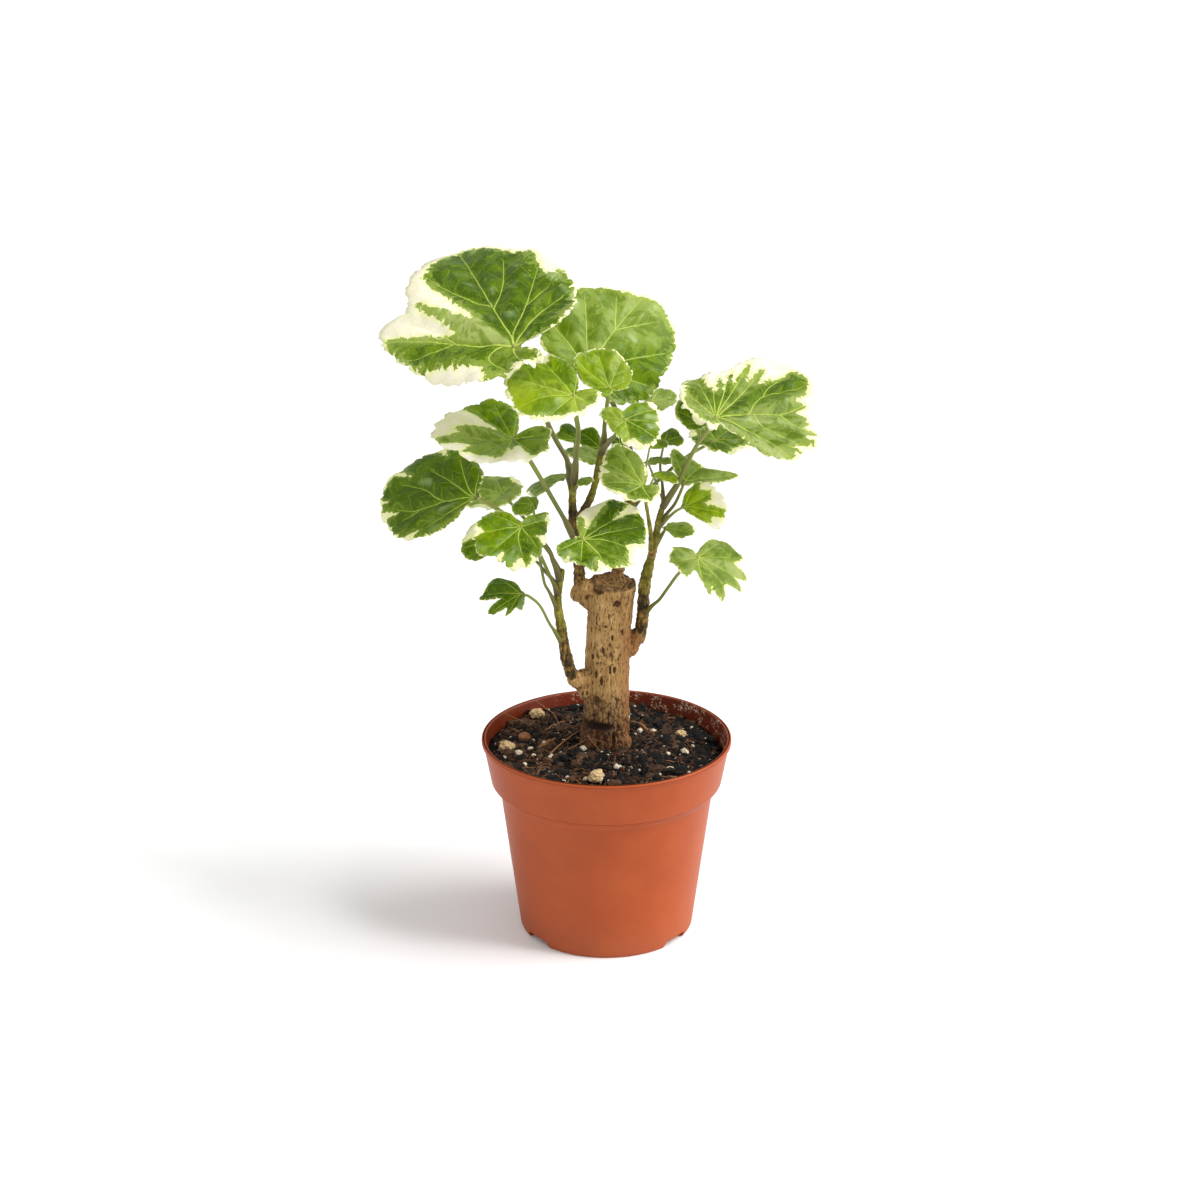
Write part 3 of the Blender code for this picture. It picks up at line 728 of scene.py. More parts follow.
def soil_rings():
    """The soil's rings, from the well's floor over the mound to the soil's underside."""
    turns = [2 * math.pi * i / SOIL_SPOKES for i in range(SOIL_SPOKES)]
    well = [(WELL_CENTRE + WELL_RADIUS * math.cos(t), WELL_RADIUS * math.sin(t)) for t in turns]
    wall = [(math.cos(t), math.sin(t)) for t in turns]
    rings = [[(x, y, z) for x, y in well] for z in (WELL_FLOOR, 70.0, 90.0)]
    for step in range(SOIL_RINGS + 1):
        share = step / SOIL_RINGS
        ring = []
        for (x0, y0), (x1, y1) in zip(well, wall):
            rim = wall_radius(soil_height(x1 * RIM_REACH, y1 * RIM_REACH))
            x, y = x0 + (x1 * rim - x0) * share, y0 + (y1 * rim - y0) * share
            fade = min(1.0, 6.0 * (1.0 - share) + 0.25)
            ring.append((x, y, soil_height(x, y) + crumble(x, y) * fade))
        rings.append(ring)
    for radius, z in WALL_SLOPE[1:]:
        rings.append([(x * radius, y * radius, z) for x, y in wall])
    return rings


soil_mesh = loft("potting_soil", soil_rings())
print("soil", len(soil_mesh.polygons), "faces")

# %% [markdown]
# Peat is nearly black where it is damp and rust-brown where it has dried. One finish serves
# everything that lies in it, with other colours for each: a damp colour, a dry colour and the
# size of the patches.

# %% Soil finishes
def earth(name, damp, dry, patch, lean=0.0):
    """A crumbly finish between two colours, drier on the left by lean; crumbs carry a tint."""
    made = Finish(name, Roughness=0.92, Specular_IOR_Level=0.3)
    at = made.place()
    side = made.split(at)[0] * lean
    patches = made.noise(at, patch, 4.0, 0.6)
    grains = made.noise(at, 0.7, 3.0, 0.7)
    tint = made.carried("tint")
    share = (patches * 0.6 + grains * 0.6 + tint * 0.9 - 0.5 - side).step(0.5, 1.2)
    pits = made.cells(at, 1.3)
    skin = share.mix(damp, dry)
    flecks = made.noise(at, 0.9, 2.0, 0.6).step(0.60, 0.66)
    skin = (flecks * share * 0.5).mix(skin, (176, 134, 98))
    return made.finish(Base_Color=skin, height=grains * 0.35 + pits * 0.25)


soil_finish = earth("soil", (8, 6, 4), (58, 39, 27), 7.0, 0.003)
soil = plain("potting_soil", soil_mesh, soil_finish)
settle(soil, "soil", "soil")

# %% [markdown]
# Crumbs, perlite grains and bark bits lie all over the mound, so Geometry Nodes scatter them:
# points are dealt on the faces marked as top, each gets a small icosphere with its own size
# and turn, and after Realize Instances noise dents every copy in another way. The same tree
# makes every kind, with other sizes, counts and seeds.

# %% Scattering
DENTS_PER_METRE = 700.0
GROUND_CELLS = 90
SCATTER_REACH = 55.0


def scattering_tree():
    """Dented lumps on the faces of a mesh, with a tint of their own."""
    grow = Growth("scattering", Count=float, Least=float, Most=float, Length=float, Squash=float,
                  Dent=float, Round=int, Seed=int, Material=str)
    seed = grow.given("Seed")
    points = grow.node("GeometryNodeDistributePointsOnFaces", {
        "Mesh": grow.mesh_in(), "Density": grow.given("Count"), "Seed": seed})
    lump = grow.node("GeometryNodeMeshIcoSphere", {
        "Radius": 1.0, "Subdivisions": grow.given("Round")})
    chance = grow.chance(seed)
    skew = chance * chance
    size = grow.given("Least") + skew * (grow.given("Most") - grow.given("Least"))
    shape = grow.join(size * grow.given("Length"), size, size * grow.given("Squash"))
    turn = grow.node("FunctionNodeRandomValue", {
        "Min": (-0.4, -0.4, 0.0), "Max": (0.4, 0.4, 6.283), "Seed": seed},
        data_type="FLOAT_VECTOR")
    placed = grow.node("GeometryNodeInstanceOnPoints", {
        "Points": points, "Instance": lump, "Rotation": turn, "Scale": shape})
    placed = grow.node("GeometryNodeStoreNamedAttribute", {
        "Geometry": placed, "Name": "tint", "Value": grow.chance(seed + 7.0)}, domain="INSTANCE")
    real = grow.node("GeometryNodeRealizeInstances", {0: placed})
    where = grow.node("GeometryNodeInputPosition")
    dents = grow.node("ShaderNodeTexNoise", {
        "Vector": where, "Scale": DENTS_PER_METRE, "Detail": 1.0}, "Color")
    push = grow.vector("SUBTRACT", dents, (0.5, 0.5, 0.5))
    push = grow.vector("SCALE", push, Scale=grow.given("Dent"))
    dented = grow.node("GeometryNodeSetPosition", {"Geometry": real, "Offset": push})
    return grow.close(dented, smooth=False)


SCATTERING = scattering_tree()


def ground(name, hole):
    """The mound's skin round the cane, to scatter on."""
    bm = bmesh.new()
    bmesh.ops.create_grid(bm, x_segments=GROUND_CELLS, y_segments=GROUND_CELLS, size=LIP_INSIDE)
    for vert in bm.verts:
        x, y = vert.co.xy
        inner = math.hypot(x - WELL_CENTRE, y)
        if math.hypot(x, y) > SCATTER_REACH or inner < hole:
            bm.verts.remove(vert)
            continue
        vert.co = Vector((x, y, soil_skin(x, y))) * MM
    return mesh_of(name, bm)


def strew(name, finish, per_cm2, least, most, length, squash, dent, seed, rough=2, hole=12.5):
    """Scatter one kind of lump; its sizes are in millimetres."""
    piece = baked(name, SCATTERING, ground(name, hole), Count=per_cm2 * 1e4,
                  Least=least * MM, Most=most * MM, Length=length, Squash=squash, Dent=dent * MM,
                  Round=rough, Seed=seed, Material=finish)
    face_out(piece.data)
    settle(piece, "soil")


crumb_finish = earth("soil_crumbs", (7, 5, 4), (94, 66, 45), 8.0, 0.004)
perlite_finish = earth("perlite", (180, 168, 150), (236, 229, 216), 4.0)
husk_finish = earth("husk", (66, 34, 18), (158, 100, 62), 5.0)
strew("soil_crumbs", crumb_finish, 95.0, 0.3, 1.5, 1.5, 0.7, 1.5, seed=3, rough=1, hole=11.0)
strew("soil_clods", crumb_finish, 6.5, 0.9, 3.0, 1.6, 0.62, 2.8, seed=5)
strew("perlite_grains", perlite_finish, 5.2, 0.4, 1.1, 1.2, 0.8, 0.6, seed=11)
strew("husk_bits", husk_finish, 7.0, 0.4, 1.4, 2.8, 0.4, 0.9, seed=17)

# %% [markdown]
# Dead roots and fibres lie over the soil. Each is a line of points with a thickness, and one
# tree sweeps a round section along every line of a mesh at once. Shoots and stalks use the
# same tree later. The pale roots are placed one by one, and fine tan fibres are drawn at random
# from a fixed seed.

# %% Sweeping
def sweeping_tree():
    """Sweep a round section along each line of a mesh, as wide as the line's own thickness."""
    grow = Growth("sweeping", Sides=int, Material=str)
    lines = grow.node("GeometryNodeMeshToCurve", {0: grow.mesh_in()})
    ring = grow.circle(1.0)
    width = grow.node("GeometryNodeInputNamedAttribute", {"Name": "thickness"},
                      data_type="FLOAT")
    return grow.close(grow.node("GeometryNodeCurveToMesh", {
        "Curve": lines, "Profile Curve": ring, "Scale": width, "Fill Caps": True}))


SWEEPING = sweeping_tree()


def swept(name, lines, sides, finish, marks=()):
    """Lines swept into round lengths; rows are (x, y, z, radius, a value for each mark)."""
    line = line_mesh(name, lines, ("thickness", *marks))
    piece = baked(name, SWEEPING, line, Sides=sides, Material=finish)
    face_out(piece.data)
    return piece


def lying(points, radius, lift=0.5):
    """Rows that lie on the soil through (x, y) points, thinned at both ends."""
    path = smooth_path([(x, y, 0.0) for x, y in points], 5)
    rows = []
    for i, (x, y, _) in enumerate(path):
        share = i / (len(path) - 1)
        thin = radius * (0.35 + 0.65 * math.sin(math.pi * clipped(share)) ** 0.5)
        z = soil_skin(x, y) + lift + 0.6 * math.sin(3.0 * share * math.pi) ** 2
        rows.append((x, y, z, thin))
    return rows


def smooth_path(points, steps):
    """Points on a Catmull-Rom curve through rows of numbers."""
    rows = [Vector(point) for point in points]
    ends = [rows[0] * 2 - rows[1], *rows, rows[-1] * 2 - rows[-2]]
    path = []
    for before, start, stop, after in zip(ends, ends[1:], ends[2:], ends[3:]):
        for i in range(steps):
            t = i / steps
            path.append(0.5 * ((2 * start) + (stop - before) * t
                               + (2 * before - 5 * start + 4 * stop - after) * t * t
                               + (3 * start - before - 3 * stop + after) * t ** 3))
    path.append(rows[-1])
    return path


print("sweeping has", len(SWEEPING.tree.nodes), "nodes")

# %% Roots and fibres
# (x, y) points and radius of roots that lie on the soil
ROOTS = (
    (((-36, 13), (-31, 15), (-25, 23), (-16, 27)), 0.45), (((-47, 21), (-42, 15)), 0.4),
    (((-20, -44), (-16, -37), (-12, -42), (-5, -49)), 0.4), (((28, -18), (38, -18)), 0.35),
    (((25, -32), (32, -34), (40, -36)), 0.4), (((11, 23), (17, 18), (21, 13)), 0.95),
    (((-44, -20), (-36, -26), (-25, -29)), 0.35), (((-33, -6), (-28, -2), (-24, 1)), 0.9),
)
# (x, y, z) points and radius of roots that stand clear of it
STANDING_ROOTS = (
    (((-27, -15, 95), (-21, -9, 98.5), (-14, -4, 102)), 0.45),
    (((-20, -12, 95), (-15, -12, 98), (-8, -12, 101.5), (0, -13.5, 100)), 0.3),
    (((-9, -12, 103), (-4, -13.5, 97)), 0.3),
    (((-35, 43, 98.5), (-29, 36, 97), (-25, 28, 96.5), (-21, 9, 95)), 0.4),
    (((-50, 26, 99), (-45, 24, 97.5), (-38, 22, 95)), 0.35),
)
CANE_CLEAR = 14.0       # grains and fibres start no nearer to the pot's axis
FIBRE_REACH = 50
root_finish = earth("dead_root", (138, 96, 60), (214, 178, 134), 3.0)
fibre_finish = earth("fibre", (104, 72, 46), (198, 156, 116), 4.0)


def fibre_lines(count, seed):
    """Short bent fibres, thicker on the left, where the soil is drier."""
    deal = random.Random(seed)
    lines = []
    while len(lines) < count:
        x, y = (deal.uniform(-FIBRE_REACH, FIBRE_REACH) for _ in range(2))
        inside = CANE_CLEAR < math.hypot(x, y) < FIBRE_REACH
        if not inside or deal.random() > 0.55 - x / 110:
            continue
        heading, length = deal.uniform(0, 2 * math.pi), deal.uniform(3.0, 11.0)
        points = [(x, y)]
        for _ in range(3):
            heading += deal.uniform(-0.7, 0.7)
            x, y = x + math.cos(heading) * length / 3, y + math.sin(heading) * length / 3
            points.append((x, y))
        if max(math.hypot(*point) for point in points) < FIBRE_REACH + 4:
            lines.append(lying(points, deal.uniform(0.11, 0.28), deal.uniform(0.1, 0.9)))
    return lines


def standing(points, radius):
    """Rows through (x, y, z) points, thinned towards the end."""
    path = smooth_path(points, 8)
    return [(*point, radius * (1.0 - 0.6 * i / len(path))) for i, point in enumerate(path)]


lying_roots = [lying(*root) for root in ROOTS]
standing_roots = [standing(*root) for root in STANDING_ROOTS]
settle(swept("dead_roots", lying_roots + standing_roots, 10, root_finish), "soil")
settle(swept("root_fibres", fibre_lines(300, 4), 5, fibre_finish), "soil")

# %% [markdown]
# Five lumps of pumice and fired clay stand on the soil, where the packed model has them. Each
# is an icosphere pushed in and out by noise, with deeper pits for the holes of pumice. Coarse
# grains and bark chips lie between them, drawn at random round the drifts they gather in.

# %% Stones
STONE_LEVEL = 5


def stone_finish(name, dark, pale):
    """Porous stone between two colours."""
    made = Finish(name, Roughness=0.95)
    at = made.place()
    blotch = made.noise(at, 2.2, 4.0, 0.6)
    holes_in = made.cells(at, 0.55)
    share = (blotch * 0.7 + holes_in * 0.5).step(0.2, 0.75)
    return made.finish(Base_Color=share.mix(dark, pale), height=holes_in * 0.25 + blotch * 0.2)


def make_stone(node, finish, pit):
    """A pitted lump that fills its CAD node's box."""
    low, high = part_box(node)
    middle, half = (low + high) / 2, (high - low) / 2
    bm = bmesh.new()
    bmesh.ops.create_icosphere(bm, subdivisions=STONE_LEVEL, radius=1.0)
    for vert in bm.verts:
        at = vert.co * 1.7 + middle * 900.0
        swell = 1.0 + 0.30 * noise.fractal(at, 1.0, 2.0, 3)
        swell -= pit * max(0.0, noise.noise(at * 4.2)) ** 1.5
        vert.co = middle + Vector(c * h for c, h in zip(vert.co * swell, half)) * 1.08
    mesh = mesh_of(node, bm)
    mesh.shade_smooth()
    settle(plain(node + "_stone", mesh, finish), "pumice", node)


pumice_finish = stone_finish("pumice", (112, 84, 50), (218, 188, 140))
clay_finish = stone_finish("fired_clay", (100, 58, 36), (166, 112, 74))
for node in ("pumice_left", "pumice_front", "pumice_back", "pumice_right"):
    make_stone(node, pumice_finish, 0.35)
make_stone("clay_left", clay_finish, 0.15)

# where loose grains gathered: (x, y), how far they strayed, how many
GRAIN_DRIFTS = (((-42, -14), 15, 10), ((-20, -36), 16, 4), ((28, 8), 20, 7), ((14, -28), 24, 6),
                ((12, 40), 8, 2))
CHIP_DRIFTS = (((-34, -12), 20, 6), ((22, -8), 24, 6))
APART = 4.5
GRAIN_REACH = 53.0


def drifted(drifts, least, most, stretch, seed):
    """Rows of ((x, y), radius, how long) drawn round each drift's middle, clear of the cane."""
    deal = random.Random(seed)
    rows = []
    for (middle_x, middle_y), stray, count in drifts:
        left = count
        while left:
            x, y = deal.gauss(middle_x, stray / 2), deal.gauss(middle_y, stray / 2)
            clear = all(math.dist((x, y), place) > APART for place, _, _ in rows)
            if clear and CANE_CLEAR < math.hypot(x, y) < GRAIN_REACH:
                radius = least + (most - least) * deal.random() ** 1.5
                rows.append(((x, y), radius, 1.0 + stretch * deal.random()))
                left -= 1
    return rows


def grains(name, rows, finish, seed):
    """Dented lumps at their places on the soil, as one piece."""
    deal = random.Random(seed)
    bm = bmesh.new()
    for (x, y), radius, length in rows:
        middle = Vector((x, y, soil_skin(x, y) + 0.45 * radius))
        turn = deal.uniform(0.0, math.pi)
        along = Vector((math.cos(turn), math.sin(turn), deal.uniform(-0.2, 0.2)))
        for vert in bmesh.ops.create_icosphere(bm, subdivisions=3, radius=1.0)["verts"]:
            swell = 1.0 + 0.34 * noise.fractal(vert.co * 1.5 + middle, 1.0, 2.0, 3)
            lump = vert.co * swell * radius
            vert.co = (middle + lump + along * lump.dot(along) * (length - 1.0)) * MM
    mesh = mesh_of(name, bm)
    mesh.shade_smooth()
    settle(plain(name, mesh, finish), "soil")


grain_finish = stone_finish("coarse_perlite", (140, 118, 86), (228, 214, 188))
grains("coarse_grains", drifted(GRAIN_DRIFTS, 0.6, 1.8, 0.6, 21), grain_finish, 2)
grains("bark_chips", drifted(CHIP_DRIFTS, 1.0, 1.7, 1.2, 8), husk_finish, 6)

# %% [markdown]
# ## The cane
#
# The cane is a cut length of woody stem with three swollen collars where shoots broke out. It
# is made in two steps. A swept stem and the lumps of its collars and foot are fused by a voxel
# remesh, which gives an even skin over all of them. Then every point of that skin is pushed
# along its normal: ring scars, long bark flakes, lenticel pits, and a ragged rim round the cut.

# %% The fused form
# path points with the radius there, as in the packed model
CANE = ((-1, 0, 52.4, 9), (-1, 0, 78, 11.2), (-1, 0, 96, 11.6), (0, 0, 108, 10.9),
        (0, 0, 128, 10.7), (1, 0, 150, 10.5), (2, 0, 165, 10.6), (3, 0, 177.2, 10.9))
# lumps fused with the stem: (x, y, z), (radii)
LUMPS = (
    ((-9, -3, 126), (5.8, 5.8, 7.0)), ((-11.5, -6.5, 130.5), (4.4, 4.4, 4.6)),
    ((-10.5, -8.5, 124.0), (2.8, 2.6, 3.4)), ((10, 2, 144), (5.6, 5.2, 6.2)),
    ((12.8, 1.8, 147.6), (4.2, 4.0, 4.2)), ((-7, -1, 169), (6.3, 6.0, 5.8)),
    ((-10.4, -1.6, 173.2), (4.2, 4.4, 4.6)), ((4.2, 5.0, 176.0), (4.6, 4.6, 3.8)),
    ((-7.5, -6.5, 97.5), (5.6, 5.4, 6.5)), ((6.5, -4.5, 96.5), (5.8, 6.2, 5.5)),
    ((-14.8, -9.2, 131.4), (3.9, 3.9, 4.4)), ((15.0, 2.0, 148.8), (3.9, 3.8, 4.0)),
    ((-12.0, -2.0, 171.2), (5.4, 4.4, 3.8)), ((-13.6, -2.6, 173.2), (3.2, 3.2, 3.8)),
    ((-9.6, -3.6, 176.4), (4.8, 4.2, 3.2)),
)
VOXEL = 0.5
STEM_SIDES = 64
EASE = 6


def fused_cane():
    """The stem and its lumps as one even skin."""
    rows = [tuple(row) for row in smooth_path(CANE, 10)]
    stem = swept("woody_cane", [rows], STEM_SIDES, None)
    bm = bmesh.new()
    bm.from_mesh(stem.data)
    for centre, radii in LUMPS:
        made = bmesh.ops.create_icosphere(bm, subdivisions=4, radius=1.0)["verts"]
        for vert in made:
            vert.co = Vector(c + v * r for c, v, r in zip(centre, vert.co, radii)) * MM
    bm.to_mesh(stem.data)
    bm.free()
    fuse = stem.modifiers.new("fuse", "REMESH")
    fuse.mode = "VOXEL"
    fuse.voxel_size = VOXEL * MM
    ease = stem.modifiers.new("ease", "SMOOTH")
    ease.iterations = EASE
    return applied(stem)


cane = fused_cane()
print("fused cane", len(cane.data.polygons), "faces")

# %% [markdown]
# The relief is a sum of small functions of a point, each a push in millimetres. The sum is kept
# on the mesh, and the finish draws a point darker the deeper it lies, as painted shade.

# %% Bark relief
RING_SCARS = (118.0, 139.0, 156.0, 172.0)
FOOT_RING = 110.0
PIT_COUNT = 230
GIRTH = 10.8            # the stem's usual radius
CUT_CENTRE = 3.0        # the cut face's middle, along x
CUT_FROM = 172.0
# scars: (x, z) on the front, radius across and up, depth, height of the rim
FRONT_SCARS = (
    ((5.0, 169.5), (2.2, 2.0), 0.7, 0.5), ((-3.5, 107.0), (7.5, 1.8), 1.5, 0.0),
    ((3.6, 101.0), (0.7, 4.5), 1.0, 0.3), ((-3.8, 175.0), (2.6, 1.6), 0.9, 0.3),
    ((-7.2, 155.0), (0.6, 1.6), 0.7, 0.3), ((-1.9, 146.0), (0.9, 1.8), 0.8, 0.3),
    ((1.6, 136.0), (0.7, 2.2), 0.8, 0.3), ((3.8, 136.0), (0.8, 1.8), 0.8, 0.3),
    ((-6.6, 142.0), (0.7, 1.4), 0.6, 0.2), ((2.8, 152.5), (0.7, 1.8), 0.7, 0.3),
    ((7.5, 154.5), (0.7, 2.0), 0.7, 0.3), ((-0.3, 158.0), (1.0, 0.8), 0.6, 0.2),
    ((-2.5, 130.5), (0.9, 2.4), 0.9, 0.3), ((-5.0, 133.5), (1.0, 2.2), 0.8, 0.3),
    ((-9.1, 124.5), (0.8, 1.6), 0.8, 0.2), ((-4.5, 120.0), (2.6, 3.0), 0.6, 0.2),
)


def pit_places():
    """Lenticel pits: an azimuth, a height, half width and half height."""
    deal = random.Random(21)
    return [(deal.uniform(-math.pi, math.pi), deal.uniform(97.0, 174.0), deal.uniform(0.22, 0.42),
             deal.uniform(0.5, 1.5)) for _ in range(PIT_COUNT)]


def bell(value, width):
    """1 at 0, falling smoothly to nothing a few widths away."""
    return math.exp(-(value / width) ** 2)


def bark_push(at, pits):
    """How far a point of the stem's side moves out, in millimetres."""
    x, y, z = at
    azimuth = math.atan2(y, x - 0.5)
    low = clipped((124.0 - z) / 30.0)
    flakes = noise.fractal(Vector((x * 0.62, y * 0.62, z * 0.13)), 0.9, 2.1, 4)
    fine = noise.fractal(Vector((x * 1.9, y * 1.9, z * 0.45 + 40.0)), 0.8, 2.0, 3)
    push = (0.40 + 0.45 * low) * flakes + 0.24 * fine
    warped = Vector((x, y, z * 0.55)) * 0.42 + Vector((flakes, fine, flakes)) * 0.35
    near, next_near = noise.voronoi(warped)[0][:2]
    push -= (0.10 + 0.55 * low) * bell(next_near - near, 0.10)
    offset = z - FOOT_RING - 0.06 * x - 3.0 * noise.noise(Vector((x * 0.14, y * 0.14, 3.0)))
    worn = clipped(0.55 + 1.5 * noise.noise(Vector((x * 0.15, y * 0.15, 9.0))))
    push += worn * 0.55 * bell(offset - 0.4, 0.7)
    push -= worn * 0.45 * bell(offset + 1.2, 0.8)
    for ring in RING_SCARS:
        offset = z - ring - 2.2 * noise.noise(Vector((x * 0.2, y * 0.2, ring)))
        broken = max(0.0, 0.35 + 1.2 * noise.noise(Vector((x * 0.17, y * 0.17, ring + 50.0))))
        push -= broken * (0.42 + 0.3 * low) * bell(offset, 0.5)
        push += broken * 0.25 * bell(offset - 1.1, 0.9)
    for pit_azimuth, pit_z, wide, tall in pits:
        if abs(z - pit_z) < 3.5:
            across = (azimuth - pit_azimuth + math.pi) % (2 * math.pi) - math.pi
            spread = (across * GIRTH / wide) ** 2 + ((z - pit_z) / tall) ** 2
            if spread < 9.0:
                push -= 0.55 * math.exp(-spread)
    if y < 0:
        for (scar_x, scar_z), (wide, tall), depth, rim in FRONT_SCARS:
            spread = ((x - scar_x) / wide) ** 2 + ((z - scar_z) / tall) ** 2
            spread *= 1.0 + 0.6 * noise.noise(Vector((x * 0.7, y * 0.7, z * 0.7)))
            push += depth * (rim * bell(spread ** 0.5 - 1.15, 0.3) - bell(spread, 1.0))
    return push


def cut_push(at):
    """The cut face: fibrous, domed and torn up at its rim."""
    x, y = at.xy
    radius = math.hypot(x - CUT_CENTRE, y)
    fibres = noise.fractal(Vector((x * 1.3, y * 1.3, 2.0)), 0.8, 2.2, 4)
    ragged = noise.noise(Vector((x * 0.42, y * 0.42, 7.0)))
    shreds = noise.noise(Vector((radius * 0.9, 2.0 * math.atan2(y, x - CUT_CENTRE), 5.0)))
    torn = (0.5 + 2.2 * ragged) * bell(radius - 9.4, 1.6)
    return 0.25 * fibres + 0.7 * shreds + torn


def relieve(piece, push_at):
    """Push each point along its normal, and keep the push in millimetres as 'relief'."""
    mesh = piece.data
    normals = [vert.normal.copy() for vert in mesh.vertices]
    pushes = [push_at(vert.co / MM, vert.normal) for vert in mesh.vertices]
    for vert, push, normal in zip(mesh.vertices, pushes, normals):
        vert.co += normal * push * MM
    mark_points(mesh, "relief", pushes)
    mesh.shade_smooth()


def cane_relief(pits):
    """The push at a point of the fused cane: bark on the side, fibres on the cut."""
    def push_at(at, normal):
        top = clipped((normal.z - 0.45) / 0.3) * (at.z > CUT_FROM)
        return (1 - top) * bark_push(at, pits) + top * cut_push(at)
    return push_at


relieve(cane, cane_relief(pit_places()))
print("cane reaches", round(max(vert.co.z for vert in cane.data.vertices) / MM, 1), "mm")

# %% [markdown]
# Bark colour follows the relief: grooves, pits and scars get painted shade in dark brown, the
# skin between is tan, and the right, lit side gets a painted warm light. The foot is scalier
# and darker, and the cut face is dull with a dark torn rim.

# %% Bark
def bark():
    """Tan woody bark, painted shade in grooves, painted warm light on the lit side, cut face on
    top.
    """
    made = Finish("cane_bark", Specular_IOR_Level=0.35)
    at = made.place()
    x, y, z = made.split(at)
    relief = made.carried("relief")
    grain = made.noise(made.squeezed(at, 0.16), 1.0, 5.0, 0.65)
    patch = made.noise(made.squeezed(at, 0.5), 8.0, 4.0, 0.6)
    tan = ramp(grain * 0.55 + patch * 0.6 - 0.05, (0.30, (92, 60, 28)),
               (0.43, (158, 118, 66)), (0.56, (190, 149, 90)),
               (0.70, (220, 182, 126)))
    # painted shade: the deeper the relief lies, the darker brown it is drawn
    groove = (-relief).step(0.08, 0.55)
    tan = (groove * 0.9).mix(tan, (60, 33, 15))
    foot = (131.0 + (patch - 0.5) * 30.0 - z).step(0.0, 26.0)
    tan = (foot * (0.15 + grain * 0.9)).mix(tan, (70, 40, 20))
    # darker reddish brown low on the cane, left of its middle
    low_left_dark = (109.0 + (patch - 0.5) * 12.0 - z).step(0.0, 3.0) * (5.0 - x).step(0.0, 5.0)
    tan = (low_left_dark * 0.6).mix(tan, (82, 42, 20))
    # painted light: the right side, where the key lamp falls, is drawn warmer
    painted_warm_light = (x + (patch - 0.5) * 8.0).step(4.0, 9.0) * (178.0 - z).step(0.0, 30.0)
    tan = (painted_warm_light * 0.55).mix(tan, (142, 88, 42))
    cracks = made.cells(made.squeezed(at, 0.45), 2.6, "DISTANCE_TO_EDGE")
    cracks = (0.08 - cracks).step(0.0, 0.05) * (patch * 0.7 + foot * 0.5).step(0.42, 0.7)
    tan = (cracks * 0.85).mix(tan, (50, 27, 12))
    specks = made.noise(made.squeezed(at, 0.35), 0.8, 2.0, 0.5)
    tan = (specks.step(0.58, 0.66) * 0.7).mix(tan, (58, 32, 15))
    # painted shade: the hollow of the wide front scar is drawn nearly black
    scar_shade = (x + 3.5) * (x + 3.5) * 0.02 + (z - 106.6) * (z - 106.6) * 0.3 + (patch - 0.5) * 2.0
    scar_shade = (1.0 - scar_shade.step(0.4, 1.3)) * (-y).step(0.0, 2.0)
    tan = (scar_shade * 0.9).mix(tan, (30, 14, 8))
    across = x - CUT_CENTRE
    radius = made.math("SQRT", across * across + y * y)
    cut = (z - 175.0).step(0.0, 1.2) * (11.6 - radius).step(0.0, 1.0)
    fibres = made.join(radius * 0.8, made.math("ARCTAN2", y, across) * 2.5, x * 0.15)
    face = ramp(made.noise(fibres, 1.0, 5.0, 0.7), (0.35, (62, 36, 16)),
                (0.5, (158, 114, 64)), (0.66, (214, 172, 114)))
    rim = (radius + (patch - 0.5) * 4.0).step(8.0, 10.4)
    face = (rim * 0.6).mix(face, (58, 34, 16))
    tan = cut.mix(tan, face)
    height = grain * 0.9 + specks * -0.4
    return made.finish(Base_Color=tan, Roughness=0.72 + groove * 0.2, height=height)


cane.data.materials.clear()
cane.data.materials.append(bark())
settle(cane, "bark", "cane")

# %% [markdown]
# ## Shoots
#
# Young wood grows in short scaly segments, so each shoot is a swept line whose radius swells
# and steps once a segment. It starts inside the cane's collar, a little wider than where the
# packed solid starts, so that wood runs into wood. A value kept along the line says how green
# it has stayed, and the finish reads it.

# %% Shoot paths
# how much of the shoot is woody, how long its tan base is, and points (x, y, z, radius): the
# first is its root inside the wood, and the others are as in the packed model, but for the
# right shoot's slimmer top
SHOOTS = {
    "left_shoot": (0.62, 9.0, (-10.5, -5.5, 126.5, 3.7), (-15.2, -9.5, 131, 3.2),
                   (-19, -13, 144, 2.9), (-21, -14, 158, 2.8), (-23, -13, 172, 2.8),
                   (-21, -11, 186, 2.4)),
    "centre_shoot": (0.8, 9.0, (-9.5, -1.5, 170.5, 3.8), (-12.5, -2, 176.4, 3.2),
                   (-13, -2, 188, 2.9), (-15, -3, 204, 3), (-16, -2, 218, 2.8),
                   (-15, -2, 229, 2.1)),
    "crown_shoot": (0.35, 2.0, (-14.6, -1.0, 207.5, 2.0), (-9.3, 2.5, 214, 1.8), (-6, 4, 222, 1.9),
                   (-3, 6, 236, 2.2), (-1, 5, 245, 1.8)),
    "right_shoot": (0.5, 9.0, (11.5, 2, 144.5, 3.8), (15.3, 2, 149, 3.2), (17, -1, 159, 3.1),
                   (18, -3, 177, 3.1), (22, -3, 195, 2.6), (25, -5, 212, 2.1), (27, -6, 219, 1.6)),
    "inner_shoot": (0.3, 2.0, (21.8, -4.6, 191.5, 1.4), (20.5, -8.5, 196, 1.2),
                   (20.5, -11, 204, 1.2), (19, -16, 216, 1.2), (17, -26, 230, 1.1)),
    "back_shoot": (0.6, 9.0, (4.5, 4.5, 174.5, 3.8), (5, 6, 178.6, 3.3), (7, 9, 189, 3.3),
                   (10, 12, 201, 3.3), (11, 14, 211, 3.2), (11, 16, 223, 2.6), (11, 18, 236, 2.1)),
}
SEGMENT = 3.6
SEGMENT_STEP = 0.2
SHOOT_SIDES = 28


